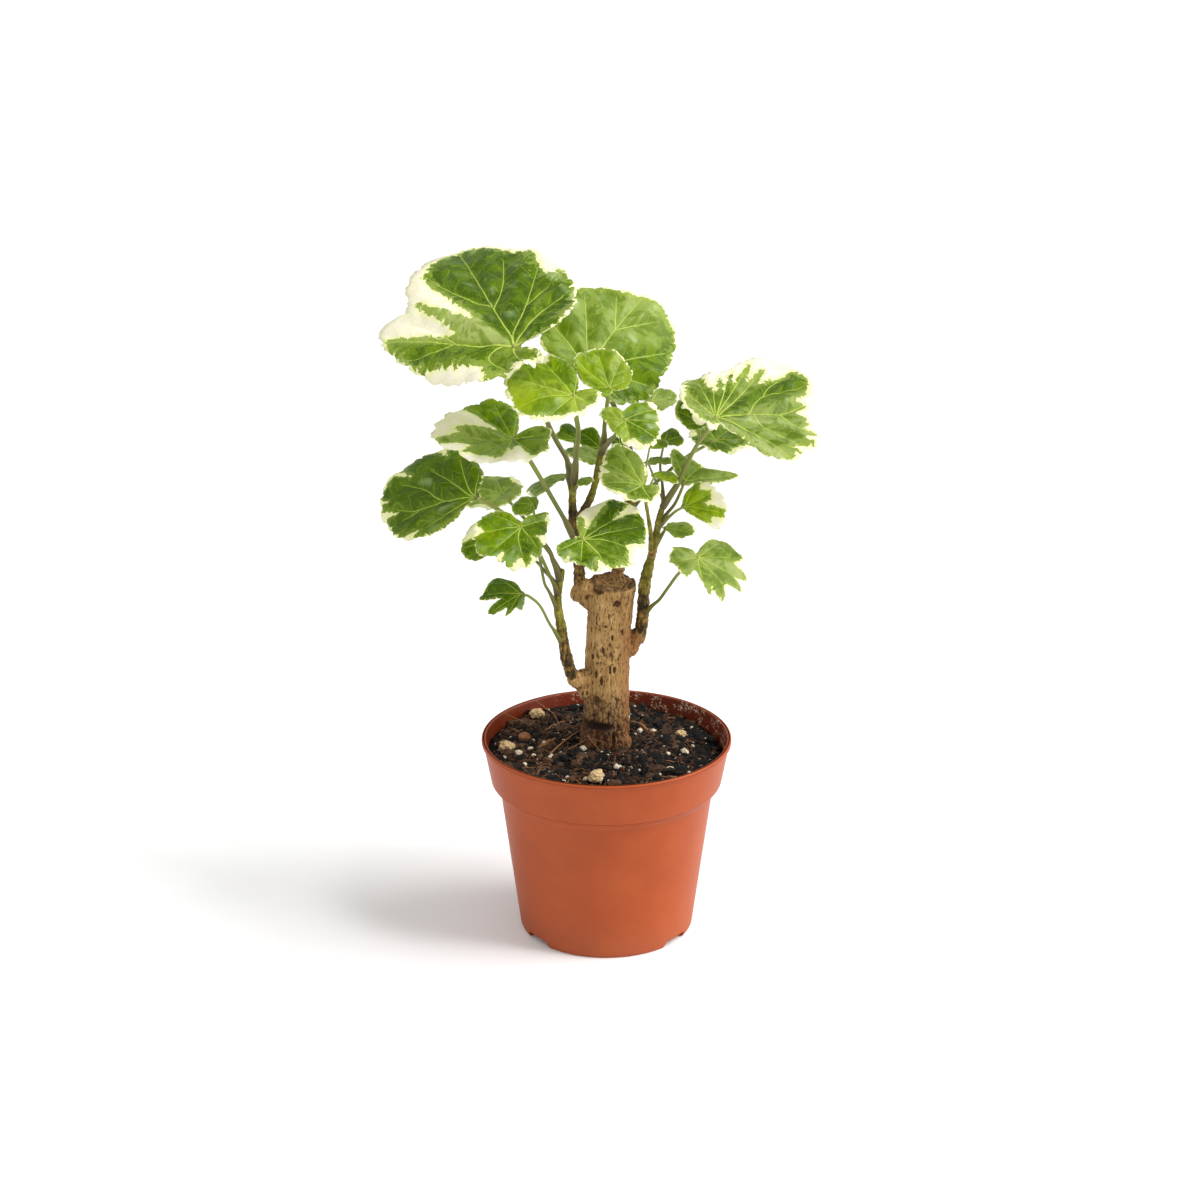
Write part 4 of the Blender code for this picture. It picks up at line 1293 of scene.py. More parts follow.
def shoot_rows(name):
    """A shoot's line with its segments: (x, y, z, radius, greenness)."""
    woody, base, *points = SHOOTS[name]
    path = smooth_path(points, 40)
    rows, run = [], 0.0
    for i, point in enumerate(path):
        if i:
            run += (point - path[i - 1]).resized(3).length
        share = i / (len(path) - 1)
        turn = (run / SEGMENT + 0.3 * math.sin(run * 0.35)) % 1.0
        swell = 0.94 + SEGMENT_STEP * (0.5 - turn) * (1.0 - 0.5 * share)
        swell *= 1.0 - 0.32 * clipped((share - 0.4) / 0.5)
        swell *= 1.0 + 0.16 * noise.noise(Vector((run * 0.28, points[1][0], 0.5)))
        green = clipped((share - woody + 0.18) / 0.36)
        crease = max(0.0, 1.0 - min(turn, 1 - turn) * 6)
        rows.append((*point[:3], point[3] * swell, green, crease, bell(run, base)))
    return rows + tip_rows(path, rows[-1][3])


def tip_rows(path, radius):
    """A round end for a line."""
    along = (path[-1] - path[-2]).resized(3).normalized()
    rows = []
    for share, width in ((0.4, 0.92), (0.75, 0.7), (0.95, 0.35), (1.0, 0.06)):
        place = path[-1].resized(3) + along * radius * share
        rows.append((*place, radius * width, 1.0, 0.0, 0.0))
    return rows


def stem_finish():
    """Dark ringed young wood with painted shade in its creases, green towards its tip."""
    made = Finish("shoot_skin", Roughness=0.6, Specular_IOR_Level=0.25)
    at = made.place()
    green = made.carried("green")
    grain = made.noise(made.squeezed(at, 0.35), 1.2, 5.0, 0.65)
    patch = made.noise(at, 5.0, 3.0, 0.6)
    wood = ramp(grain * 0.6 + patch * 0.5, (0.40, (24, 17, 6)), (0.52, (72, 54, 14)),
                (0.64, (154, 118, 52)))
    fresh = ramp(patch * 0.5 + grain * 0.5, (0.35, (80, 74, 12)), (0.5, (128, 120, 30)),
                 (0.66, (182, 170, 78)))
    tan = ramp(grain * 0.6 + patch * 0.5, (0.3, (84, 56, 26)), (0.6, (172, 132, 80)))
    share = (green + (patch - 0.5) * 0.7).step(0.2, 0.75)
    # painted shade in the creases where one segment steps to the next
    crease = made.carried("crease") * (patch - 0.3).step(0.0, 0.4)
    collar = (made.carried("bark") + (patch - 0.5) * 0.9).step(0.25, 0.6)
    skin = collar.mix(share.mix(wood, fresh), tan)
    ridges = made.noise(made.squeezed(at, 0.12), 1.6, 3.0, 0.6)
    skin = ((ridges - 0.52).step(0.0, 0.06) * (0.5 - share * 0.35)).mix(skin, (40, 28, 10))
    skin = (crease * 0.55).mix(skin, (28, 20, 10))
    return made.finish(Base_Color=skin, height=grain * 0.9 + patch * 0.5 - ridges * 0.9)


shoot_skin = stem_finish()
for name in SHOOTS:
    wood = swept(name + "_wood", [shoot_rows(name)], SHOOT_SIDES, shoot_skin,
                 ("green", "crease", "bark"))
    settle(wood, "stem", name)

# %% [markdown]
# ## Leaves
#
# A leaf is a row of facts: where its blade sits and how it lies, its outline and its stalk, on
# or close to the packed model's; and then its looks. Angles are degrees from the midrib. The
# outline gives the blade's reach there, in millimetres. Ribs are lines of (angle, percentage of
# that reach). The green gives the percentage where the green ends and the cream margin starts.
# Tones give a shade, from pale sage at 0 to dark at 100, and a freshness, from greyish at 0 to
# yellow-green at 100.

# %% What a leaf is
class Leaf(NamedTuple):
    """A leaf's place, shape, stalk and looks."""
    name: str
    joint: tuple
    lie: tuple          # heading of the midrib from +X, its rise, the roll about it
    bend: float
    outline: dict
    shoot: str
    height: float
    via: tuple
    stalk: float
    tint: str
    ribs: tuple = (((0, 10), (0, 85)), ((40, 12), (42, 80)), ((-40, 12), (-42, 80)),
                   ((80, 12), (82, 80)), ((-80, 12), (-82, 80)))
    green: dict = {-180: 90, -60: 88, -20: 92, 25: 86, 60: 92, 120: 88}
    tones: dict = {}
    teeth: tuple = (3.2, 0.7)       # pitch and depth


TINT_TONES = {"dark": (95, 45), "mid": (72, 50), "light": (32, 15), "young": (35, 90)}
LEAST_REACH = 0.8
LEAVES = []


def leaf(*facts, **looks):
    """Add a leaf to the table."""
    LEAVES.append(Leaf(*facts, **looks))


def reach_at(outline, angles):
    """The outline's reach at each angle, on a smooth closed curve, as in the packed model."""
    corners, reaches = (np.array(column, float) for column in zip(*outline.items()))
    first = corners[0]
    corners = np.concatenate([corners - 360.0, corners, corners + 360.0])
    reaches = np.tile(reaches, 3)
    slopes = (np.roll(reaches, -1) - np.roll(reaches, 1)) / (np.roll(corners, -1)
                                                             - np.roll(corners, 1))
    turned_to = first + (np.asarray(angles, float) - first) % 360.0
    i = np.searchsorted(corners, turned_to, side="right") - 1
    width = corners[i + 1] - corners[i]
    t = (turned_to - corners[i]) / width
    reach = ((2 * t ** 3 - 3 * t * t + 1) * reaches[i]
             + (t ** 3 - 2 * t * t + t) * slopes[i] * width
             + (3 * t * t - 2 * t ** 3) * reaches[i + 1]
             + (t ** 3 - t * t) * slopes[i + 1] * width)
    return np.maximum(reach, LEAST_REACH * np.minimum(reaches[i], reaches[i + 1]))


def longest_reach(leaf):
    """How far the blade reaches from its joint."""
    return max(leaf.outline.values())


def round_the_blade(percents, angles):
    """Straight-line shares between the angles that have a percentage, all round."""
    shares = np.array(list(percents.values()), float) / 100.0
    return np.interp(angles, list(percents), shares, period=360.0)


def polar(radii, angles):
    """Points at these radii and angles, in degrees."""
    turns = np.radians(angles)
    return np.stack([radii * np.cos(turns), radii * np.sin(turns)], 1)


print("a leaf has", len(Leaf._fields), "facts")

# %% [markdown]
# ### The table of leaves
#
# First the crown, then the right side, the left side, and the small leaves that fill the
# middle. The three rear leaves at the end fill the side that faces away.

# %% Crown leaves
leaf("crown_left_leaf", (-42, -15, 296), (120, 20, -20), -0.11,
     {-165: 16, -148: 17, -136: 4, -106: 4, -90: 26, -60: 51, -30: 76, -8: 90, 5: 84, 16: 77,
      26: 64, 38: 71, 60: 56, 90: 37, 120: 26, 150: 18},
     "centre_shoot", 227,
     ((-19, 2, 238), (-24, 5, 246), (-28, 5, 255), (-34, 4, 271), (-39, -2, 286)), 1.6, "mid",
     (((-15, 10), (-8, 30), (-8, 95)), ((-8, 32), (-20, 55), (-22, 80)),
      ((-8, 34), (6, 60), (8, 85)), ((-25, 12), (-38, 40), (-38, 80)), ((-38, 40), (-48, 70)),
      ((-50, 12), (-56, 40), (-62, 80)), ((50, 15), (52, 35), (47, 60), (47, 92)),
      ((51, 42), (36, 62), (34, 85)), ((50, 45), (62, 85)),
      ((62, 12), (90, 35), (112, 50), (135, 70)), ((-85, 10), (-95, 70)), ((150, 20), (165, 60))),
     {-165: 80, -140: 90, -100: 87, -75: 88, -62: 95, -55: 93, -50: 97, -47: 83, -42: 80, -36: 85,
      -32: 92, -27: 87, -20: 90, -12: 95, -4: 91, 4: 88, 9: 86, 11.5: 82, 12.5: 50, 14: 36, 19: 38,
      21: 60, 22: 84, 25: 88, 27.5: 76, 30: 58, 36: 44, 40: 42, 43: 60, 45: 90, 58: 96, 72: 93,
      78: 82, 84: 73, 97: 60, 104: 62, 110: 74, 117: 84, 123: 95, 135: 98, 142: 88, 150: 82},
     {-120: (90, 60), -62: (95, 75), -50: (62, 50), -38: (90, 70), -10: (98, 70), 8: (80, 50),
      14: (15, 10), 44: (25, 20), 52: (75, 50), 76: (75, 45), 95: (50, 55), 150: (60, 60)},
     (5.0, 1.1))
leaf("crown_back_leaf", (-9, 25, 274), (45, 30, 45), -0.1,
     {-165: 6, -135: 7, -105: 20, -75: 31, -45: 40, -15: 54, 20: 48, 50: 42, 80: 33, 105: 26,
      122: 14, 150: 8},
     "back_shoot", 235, ((7, 22, 248), (2, 24, 259), (-4, 25, 267)), 1.6, "light",
     (((-60, 10), (-60, 85)), ((-30, 10), (-32, 85)), ((7, 10), (7, 50), (5, 92)),
      ((7, 50), (-10, 80)), ((7, 50), (18, 85)), ((40, 10), (40, 85)), ((75, 10), (77, 80)),
      ((-90, 15), (-92, 80))),
     {-165: 90, -90: 95, -40: 97, -14: 90, -4: 96, 12: 90, 24: 96, 50: 93, 66: 84, 80: 93,
      110: 85},
     {-120: (75, 60), -60: (80, 85), -28: (68, 70), -10: (35, 20), 25: (42, 25), 60: (50, 30),
      110: (50, 40)}, (4.5, 1.0))
leaf("young_left_leaf", (-15, -32, 278), (175, 10, -25), -0.12,
     {-165: 13, -148: 13, -115: 4, -100: 8, -75: 24, -50: 33, -20: 34, 15: 30, 45: 27, 75: 18,
      105: 14, 140: 11, 170: 12},
     "centre_shoot", 228, ((-14, -9, 243), (-13, -16, 255), (-14, -26, 267)), 1.5, "young",
     (((-90, 15), (-88, 80)), ((-48, 12), (-50, 85)), ((-10, 12), (-12, 85)),
      ((12, 15), (18, 45), (28, 90)), ((62, 15), (62, 80)), ((110, 20), (110, 75)),
      ((160, 20), (165, 70))),
     {-165: 82, -140: 85, -90: 92, -60: 92, -52: 76, -44: 90, -25: 84, -5: 90, 14: 86, 34: 90,
      55: 85, 64: 78, 78: 84, 100: 80, 140: 84},
     {-165: (30, 60), -110: (55, 100), -70: (60, 100), -40: (40, 95), -10: (30, 70), 20: (35, 100),
      60: (42, 90), 110: (35, 70)}, (2.6, 0.9))
leaf("young_round_leaf", (1, -20, 278), (110, 35, -5), 0.12,
     {-180: 4, -145: 3, -110: 8, -60: 15, -25: 20, 10: 22, 35: 21, 60: 14, 95: 8, 150: 7},
     "crown_shoot", 244, ((-1, -6, 256), (0, -14, 267)), 1.3, "young",
     (((0, 10), (0, 85)), ((35, 10), (35, 85)), ((-35, 10), (-35, 85)), ((72, 12), (75, 80)),
      ((-75, 12), (-78, 80)), ((-125, 20), (-130, 70))),
     {-180: 90, -70: 94, -45: 88, -20: 94, 10: 90, 40: 94, 70: 86, 110: 90},
     {-150: (40, 90), -65: (35, 80), -30: (30, 60), -5: (50, 100), 20: (45, 100), 60: (50, 100),
      120: (45, 90)}, (2.3, 0.8))
leaf("young_right_leaf", (8, -30, 266), (-20, -20, 25), -0.15,
     {-170: 12, -120: 9, -75: 12, -35: 18, 10: 18, 45: 18, 68: 20, 95: 13, 122: 5, 148: 10},
     "crown_shoot", 240, ((4, -12, 253), (6, -23, 261)), 1.3, "young",
     (((0, 12), (0, 85)), ((30, 12), (32, 85)), ((62, 12), (62, 80)), ((-50, 12), (-50, 85)),
      ((-95, 15), (-100, 80)), ((-150, 20), (-160, 75))),
     {-180: 85, -120: 88, -60: 86, -50: 70, -40: 60, -33: 86, 0: 86, 18: 90, 30: 80, 40: 88,
      58: 86, 68: 78, 80: 88, 110: 86},
     {-170: (22, 65), -90: (22, 70), -50: (25, 75), -25: (72, 100), 30: (76, 100), 80: (70, 100),
      120: (40, 80), 150: (25, 70)}, (2.4, 0.8))
leaf("back_pale_leaf", (21, 25, 258), (25, 5, 25), -0.1,
     {-180: 4, -110: 6, -45: 9, 10: 15, 35: 14, 65: 6, 120: 3},
     "crown_shoot", 243, ((6, 16, 246), (16, 24, 253)), 0.9, "light")
print(len(LEAVES), "crown leaves")

# %% Leaves on the right
leaf("right_large_leaf", (50, -10, 261), (40, 0, 20), 0.06,
     {-170: 11, -138: 12, -112: 8, -95: 20, -75: 43, -50: 50, -25: 50, -5: 60, 15: 64, 30: 60,
      44: 40, 75: 32, 105: 22, 145: 14},
     "right_shoot", 217,
     ((32, -9, 227), (36, -10, 236), (41, -11, 247), (47, -11, 256)), 1.25, "mid",
     (((-8, 10), (-14, 34), (-18, 64), (-12, 88)), ((-18, 62), (-30, 74), (-37, 90)),
      ((-12, 32), (4, 42), (6, 55), (1, 85)), ((20, 10), (22, 40), (24, 66)),
      ((6, 50), (12, 64), (13, 84)), ((40, 10), (40, 50), (42, 90)),
      ((34, 12), (32, 40), (32, 74)), ((52, 12), (54, 60)), ((65, 12), (67, 85)),
      ((93, 15), (93, 85)), ((118, 15), (120, 80)), ((-40, 10), (-64, 36), (-68, 60), (-73, 94)),
      ((-15, 36), (-44, 44), (-50, 58), (-58, 92)), ((-110, 20), (-104, 80))),
     {-170: 80, -120: 70, -99: 84, -90: 98, -80: 92, -73: 92, -68: 86, -64: 87, -61: 80, -58: 82,
      -53: 92, -49: 84, -45: 83, -41: 88, -38: 94, -35: 82, -31: 86, -24: 85, -21: 78, -18: 77,
      -15: 84, -12: 82, -10: 74, -6: 83, -1: 86, 7: 94, 13: 86, 14.5: 72, 17: 74, 18.5: 58,
      20.5: 62, 22: 80, 25: 78, 26.5: 58, 28: 66, 31: 86, 34: 82, 35: 56, 37: 62, 38.5: 86, 41: 80,
      42.5: 52, 44.5: 84, 49: 82, 51: 58, 56: 66, 60: 70, 62: 88, 70: 94, 76: 88, 84: 85, 100: 82,
      114: 84, 125: 80},
     {-120: (30, 10), -80: (20, 0), -66: (50, 15), -57: (35, 0), -47: (50, 15), -38: (25, 0),
      -26: (40, 0), -14: (50, 10), -6: (40, 0), 4: (85, 60), 13: (95, 70), 19: (40, 10),
      28: (45, 10), 36: (75, 50), 44: (90, 60), 55: (85, 50), 65: (60, 30), 85: (50, 20),
      115: (40, 10)}, (4.2, 1.1))
leaf("back_dark_leaf", (44, 14, 251), (180, 30, -35), -0.1,
     {-180: 3, -100: 5, -35: 15, 20: 12, 60: 8, 100: 4},
     "right_shoot", 214, ((34, 6, 226), (42.5, 13, 241)), 0.8, "mid")
leaf("right_fold_leaf", (27, 10, 243), (35, 10, 20), -0.1,
     {-180: 2, -100: 3, -35: 9, 10: 11, 35: 12, 65: 6, 110: 2},
     "right_shoot", 218, ((25, 4, 234),), 0.8, "mid")
leaf("long_leaf", (37, 18, 221), (50, 15, 30), -0.05,
     {-180: 4, -66: 5, -46: 14, -30: 29, -16: 20, 0: 15, 30: 16, 56: 21, 80: 9, 110: 4},
     "right_shoot", 207, ((32, 5, 214), (35, 12, 218)), 1.0, "light",
     (((-30, 10), (-30, 90)), ((56, 10), (56, 85)), ((5, 10), (5, 80))),
     {-180: 90, -60: 85, -30: 95, 0: 85, 56: 90, 100: 85},
     {-180: (45, 10), -30: (35, 10), 50: (45, 10)}, (3.0, 0.6))
leaf("low_right_leaf", (42, -22, 197), (-30, -30, 10), -0.12,
     {-178: 8, -150: 13, -100: 15, -76: 15, -62: 10, -48: 15, -36: 23, -30: 20, -20: 26, -10: 22,
      -2: 20, 6: 26, 14: 25, 21: 22, 32: 27, 46: 23, 56: 26, 68: 26, 84: 25, 97: 20, 108: 11,
      125: 4, 160: 3},
     "right_shoot", 161, ((25, -10, 172), (29, -15, 180), (34, -20, 189)), 1.0, "light",
     (((-45, 10), (-45, 85)), ((-5, 10), (-5, 85)), ((30, 10), (25, 85)), ((55, 10), (58, 85)),
      ((88, 12), (88, 80)), ((-110, 15), (-115, 80))),
     {-178: 85, -100: 90, -45: 92, -36: 94, -30: 84, -20: 92, -8: 84, 6: 94, 14: 92, 21: 84,
      32: 95, 42: 80, 50: 82, 58: 90, 84: 93, 110: 85},
     {-150: (35, 15), -60: (40, 20), 0: (38, 15), 40: (30, 10), 60: (60, 50), 75: (35, 15),
      110: (40, 20)}, (3.0, 0.9))
leaf("right_small_leaf", (36, -8, 217), (15, 0, 40), -0.08,
     {-180: 2, -95: 2, -60: 8, -42: 19, -10: 21, 30: 21, 55: 16, 80: 6, 110: 2},
     "right_shoot", 206, ((32, -9, 215),), 0.9, "young",
     (((-40, 10), (-40, 80)), ((-8, 10), (-14, 85)), ((22, 10), (24, 75)), ((55, 10), (58, 85))),
     {-180: 90, -58: 90, -42: 75, -35: 70, -28: 65, -22: 88, -10: 90, -5: 75, 0: 50, 5: 45, 10: 62,
      20: 70, 28: 80, 42: 60, 48: 85, 60: 95, 100: 90},
     {-180: (28, 100), -30: (32, 100), 20: (30, 100), 60: (42, 100)}, (2.6, 0.8))
leaf("right_tiny_leaf", (28, 2, 203), (-5, -5, 20), -0.1,
     {-180: 2, -80: 2, -35: 10, 5: 14, 35: 12, 60: 7, 95: 2}, "right_shoot", 195, (), 0.9, "light")
leaf("middle_leaf", (16, -32, 235), (150, 25, -15), -0.1,
     {-165: 9, -138: 9, -115: 3, -85: 5, -62: 15, -45: 26, -30: 30, 0: 23, 35: 20, 70: 15, 110: 11,
      160: 10}, "inner_shoot", 227, ((17, -31, 232),), 0.8, "light",
     (((-35, 10), (-33, 85)), ((-5, 10), (-5, 80)), ((25, 15), (30, 40), (40, 85)),
      ((75, 15), (78, 80)), ((-65, 15), (-68, 75)), ((150, 20), (155, 80))),
     {-165: 85, -90: 85, -72: 80, -65: 46, -58: 85, -30: 88, -12: 90, -3: 84, 8: 90, 18: 76,
      26: 88, 60: 86, 78: 75, 92: 86, 140: 84},
     {-165: (30, 30), -60: (40, 30), -20: (50, 40), 8: (38, 30), 25: (28, 20), 80: (50, 30),
      140: (50, 35)}, (3.0, 0.8))
print(len(LEAVES), "leaves with the right side")

# %% Leaves on the left
leaf("left_mid_leaf", (-43, -15, 252), (150, 10, -10), 0.05,
     {-165: 18, -135: 18, -110: 20, -96: 7, -78: 5, -62: 25, -45: 33, 0: 34, 40: 38, 65: 31,
      105: 25, 150: 20},
     "centre_shoot", 199,
     ((-21, -10, 214), (-25, -12, 222), (-30, -14, 232), (-36, -16, 243)), 1.4, "mid",
     (((-40, 10), (-40, 85)), ((-62, 12), (-62, 80)), ((-18, 12), (-20, 85)), ((45, 10), (45, 90)),
      ((45, 30), (32, 85)), ((75, 12), (75, 85)), ((105, 12), (106, 80)), ((160, 15), (160, 85)),
      ((-130, 15), (-130, 85))),
     {-180: 90, -110: 90, -65: 96, -12: 97, -10: 50, -6: 30, 2: 30, 6: 36, 10: 48, 14: 57, 18: 68,
      24: 74, 29: 63, 33: 80, 40: 90, 48: 90, 53: 66, 60: 68, 66: 88, 71: 82, 75: 76, 88: 80,
      101: 80, 106: 68, 108: 50, 113: 38, 120: 46, 130: 37, 145: 34, 149: 60, 151: 88, 170: 92},
     # tones: its own dark and sage zones, partly painted light, drawn lighter against the crown
     # leaf's shade
     {-180: (60, 40), -100: (55, 35), -66: (58, 100), -15: (60, 100), -5: (30, 20), 20: (20, 15),
      45: (42, 10), 75: (45, 10), 110: (45, 15), 145: (55, 30), 165: (65, 40)}, (3.6, 0.9))
leaf("left_dark_leaf", (-61, -8, 222), (155, 0, -35), -0.1,
     {-180: 3, -100: 3, -84: 14, -65: 24, -45: 37, -20: 46, 5: 50, 30: 45, 50: 38, 64: 26, 78: 6,
      120: 3}, "left_shoot", 183, ((-27, -16, 198), (-36, -15, 208), (-49, -12, 216)), 1.3, "dark",
     (((18, 8), (19, 30), (10, 40), (0, 52), (-3, 80)), ((19, 30), (24, 60), (18, 80)),
      ((24, 58), (29, 80)), ((-8, 8), (-22, 35), (-23, 65)), ((-35, 12), (-46, 40), (-50, 70)),
      ((52, 12), (50, 70)), ((-70, 15), (-74, 70))),
     {-180: 95, -62: 94, -56: 85, -51: 95, -45: 94, -41: 78, -37: 92, -30: 98, -14: 97, -10: 77,
      -7: 94, -1: 93, 2: 98, 8: 97, 11: 84, 13: 93, 18: 93, 20: 78, 23: 90, 28: 95, 31: 86, 34: 97,
      46: 95, 49: 78, 53: 93, 90: 95},
     {-180: (95, 50), -40: (97, 50), 0: (95, 40), 35: (90, 30), 45: (76, 12), 75: (76, 12),
      90: (90, 30)}, (4.0, 1.0))
leaf("lower_left_leaf", (-39, -36, 217), (-115, -25, -20), -0.1,
     {-165: 3, -135: 4, -105: 14, -75: 20, -30: 25, 0: 23, 25: 25, 50: 19, 80: 14, 120: 13,
      152: 16, 172: 9},
     "left_shoot", 176, ((-27, -21, 189), (-31, -28, 201), (-36, -34, 211)), 1.1, "young",
     (((-50, 12), (-52, 85)), ((-15, 12), (-17, 85)), ((10, 20), (18, 40), (27, 70)),
      ((55, 12), (57, 80)), ((-90, 15), (-92, 80)), ((135, 15), (140, 80))),
     {-165: 90, -105: 86, -95: 95, -78: 95, -66: 90, -58: 82, -53: 74, -49: 88, -35: 96, -10: 97,
      -6: 78, -2: 76, 1: 96, 10: 98, 15: 86, 20: 76, 25: 70, 29: 90, 35: 88, 40: 77, 44: 88,
      60: 95, 70: 86, 76: 70, 79: 58, 83: 70, 90: 84, 110: 89, 130: 86, 142: 74, 148: 92},
     {-165: (40, 80), -90: (58, 100), -10: (56, 100), 18: (62, 90), 28: (85, 60), 90: (85, 55),
      150: (80, 55)}, (3.0, 0.8))
leaf("upper_small_leaf", (-34, -14, 220), (-165, -15, -20), -0.1,
     {-180: 3, -110: 6, -50: 10, 10: 10, 60: 6, 120: 3},
     "left_shoot", 168, ((-29, -20, 184), (-31, -20, 196), (-33, -16, 210)), 0.9, "mid")
leaf("left_small_leaf", (-56, -4, 199), (-155, -10, -60), -0.1,
     {-180: 2, -120: 4, -90: 9, -30: 11, 15: 14, 45: 11, 90: 5},
     "left_shoot", 179, ((-34, -6, 190), (-45, -4, 195)), 0.9, "dark",
     green={-180: 90, -95: 60, -60: 45, -30: 60, -10: 90, 40: 95, 100: 90})
leaf("front_leaf", (-11, -48, 215), (5, -5, 25), -0.12,
     {-180: 5, -160: 13, -130: 16, -90: 18, -60: 21, -30: 26, 0: 30, 25: 34, 45: 38, 62: 35,
      80: 25, 98: 15, 115: 4, 150: 3},
     "centre_shoot", 190, ((-12, -23, 198), (-11, -39, 207)), 1.4, "mid",
     (((5, 20), (0, 40), (-8, 80)), ((25, 12), (25, 85)), ((45, 12), (45, 85)),
      ((-45, 12), (-50, 50), (-60, 85)), ((-95, 12), (-95, 80)), ((72, 12), (74, 70)),
      ((-140, 20), (-145, 80))),
     {-180: 90, -150: 97, -138: 96, -128: 90, -116: 80, -109: 90, -100: 97, -73: 96, -66: 80,
      -62: 66, -57: 80, -48: 94, -35: 96, -28: 86, -16: 79, -8: 72, -4: 66, 0: 92, 20: 90, 24: 96,
      36: 96, 41: 84, 45: 54, 48: 74, 51: 94, 57: 86, 61: 94, 65: 80, 67: 40, 70: 26, 80: 30,
      84: 60, 96: 88, 120: 90},
     {-170: (82, 70), -75: (82, 75), -58: (60, 40), -15: (66, 35), 0: (100, 60), 20: (105, 60),
      30: (110, 60), 62: (110, 60), 80: (35, 15), 110: (60, 40)}, (3.4, 0.9))
leaf("low_left_leaf", (-40, -22, 179), (-160, -20, -25), -0.15,
     {-180: 2, -115: 3, -92: 10, -75: 18, -45: 19, -30: 20, -18: 10, 0: 18, 10: 17, 18: 10, 33: 14,
      46: 9, 66: 9, 100: 4},
     "left_shoot", 150, ((-27, -20, 164), (-31, -22, 173), (-36, -23, 178)), 0.9, "dark",
     (((-75, 10), (-76, 85)), ((-40, 10), (-38, 85)), ((2, 10), (4, 85)), ((34, 10), (34, 80))),
     {-180: 96, -70: 96, -58: 88, -40: 96, 0: 95, 36: 90, 60: 95},
     {-180: (100, 50), 0: (95, 60), 40: (90, 60)}, (2.8, 0.8))
print(len(LEAVES), "leaves with the left side")

# %% Small and rear leaves
REAR_GREEN = {-180: 85, -120: 90, -80: 70, -60: 90, -15: 92, 8: 60, 20: 88, 60: 90, 85: 65,
              110: 88}


def rear_outline(side, front):
    """The outline of a plain round leaf, by its reach at 50 degrees and at the midrib."""
    return {-180: 9, -140: 10, -95: 14, -50: side, 0: front, 50: side, 95: 14, 140: 10}


leaf("back_near_leaf", (-14, 22, 240), (150, 20, -15), -0.1,
     {-180: 2, -70: 3, -40: 14, 0: 11, 30: 12, 55: 5, 110: 3},
     "centre_shoot", 224, ((-15, 5, 235), (-15, 14, 239)), 0.9, "mid")
leaf("back_mid_leaf", (-3, 32, 233), (145, 30, -30), -0.1,
     {-180: 2, -60: 2, -35: 11, 0: 14, 30: 11, 55: 5, 90: 2},
     "crown_shoot", 220, ((-5, 21, 224), (-4, 29, 229)), 0.9, "dark")
leaf("back_low_leaf", (2, 14, 231), (170, 15, 0), -0.05,
     {-180: 2, -85: 4, -65: 14, -30: 20, 0: 25, 22: 19, 45: 9, 90: 5},
     "back_shoot", 218, (), 0.9, "light")
leaf("fold_leaf", (-19, 5, 228), (180, -25, 0), -0.05,
     {-180: 2, -75: 4, -50: 12, -30: 24, -5: 20, 20: 20, 40: 19, 60: 8, 95: 2},
     "centre_shoot", 222, (), 1.0, "light")
leaf("fold_tiny_leaf", (-12, -7, 229), (-10, 5, 15), -0.1,
     {-180: 2, -60: 4, 0: 6, 50: 6, 100: 3}, "centre_shoot", 223, (), 0.7, "light")
leaf("tip_front_leaf", (22, -14, 234), (5, -15, 20), -0.1,
     {-180: 2, -50: 2, -20: 8, 15: 13, 45: 10, 75: 3}, "inner_shoot", 226, (), 0.7, "young")
leaf("tip_back_leaf", (19, -3, 237), (0, 5, 5), -0.1,
     {-180: 2, -60: 3, -15: 10, 20: 12, 55: 9, 80: 3}, "right_shoot", 218.5, (), 0.7, "light")
leaf("tip_high_leaf", (20, -6, 246), (10, 5, 15), -0.1,
     {-180: 2, -75: 3, -20: 8, 30: 9, 60: 6, 95: 2},
     "inner_shoot", 229.5, ((18, -17, 239),), 0.7, "young")
leaf("dark_bit_leaf", (6, 2, 244), (140, 30, -30), -0.1,
     {-180: 2, -80: 3, -20: 5, 40: 4, 110: 2}, "crown_shoot", 237, (), 0.7, "dark")
leaf("rear_low_leaf", (0, 38, 192), (110, 5, 0), -0.12,
     rear_outline(20, 24), "back_shoot", 190, ((5, 22, 193),), 1.1, "mid", green=REAR_GREEN)
leaf("rear_left_leaf", (-50, 38, 208), (145, 5, -15), -0.12,
     rear_outline(19, 22),
     "left_shoot", 184.5, ((-28, 4, 193), (-40, 22, 202)), 1.1, "light", green=REAR_GREEN)
leaf("rear_right_leaf", (52, 46, 232), (60, 10, 10), -0.12,
     rear_outline(20, 23),
     "back_shoot", 208, ((24, 26, 218), (38, 36, 227)), 1.1, "mid", green=REAR_GREEN)
print(len(LEAVES), "leaves in all")

# %% [markdown]
# ### Ribs
#
# Ribs matter for shape and for colour. In the blade's own plane, each rib is a smooth line
# from the joint, or from the rib that it branches off. For every point of the blade, three
# numbers are measured to every rib: how far along the rib the nearest place is, how far to
# its left or right the point lies, and how wide the rib is there.

# %% Rib lines
def in_plane(outline, rows):
    """(angle, percentage) rows as points of the blade's plane, in millimetres."""
    angles, percents = (np.array(column, float) for column in zip(*rows))
    return polar(reach_at(outline, angles) * (percents / 100.0), angles)


def rib_lines(leaf):
    """Each rib as a smooth line of (x, y, width) rows."""
    longest = longest_reach(leaf)
    wide = 0.30 + 0.0065 * longest
    lines = []
    for rib in leaf.ribs:
        main = rib[0][1] < 30
        points = in_plane(leaf.outline, rib)
        if main:
            points = np.vstack([(0.0, 0.0), points])
        widths = np.linspace(wide if main else wide * 0.55, wide * 0.22, len(points))
        rows = [(*point, width) for point, width in zip(points, widths)]
        lines.append(np.array([tuple(row) for row in smooth_path(rows, 6)]))
    return lines


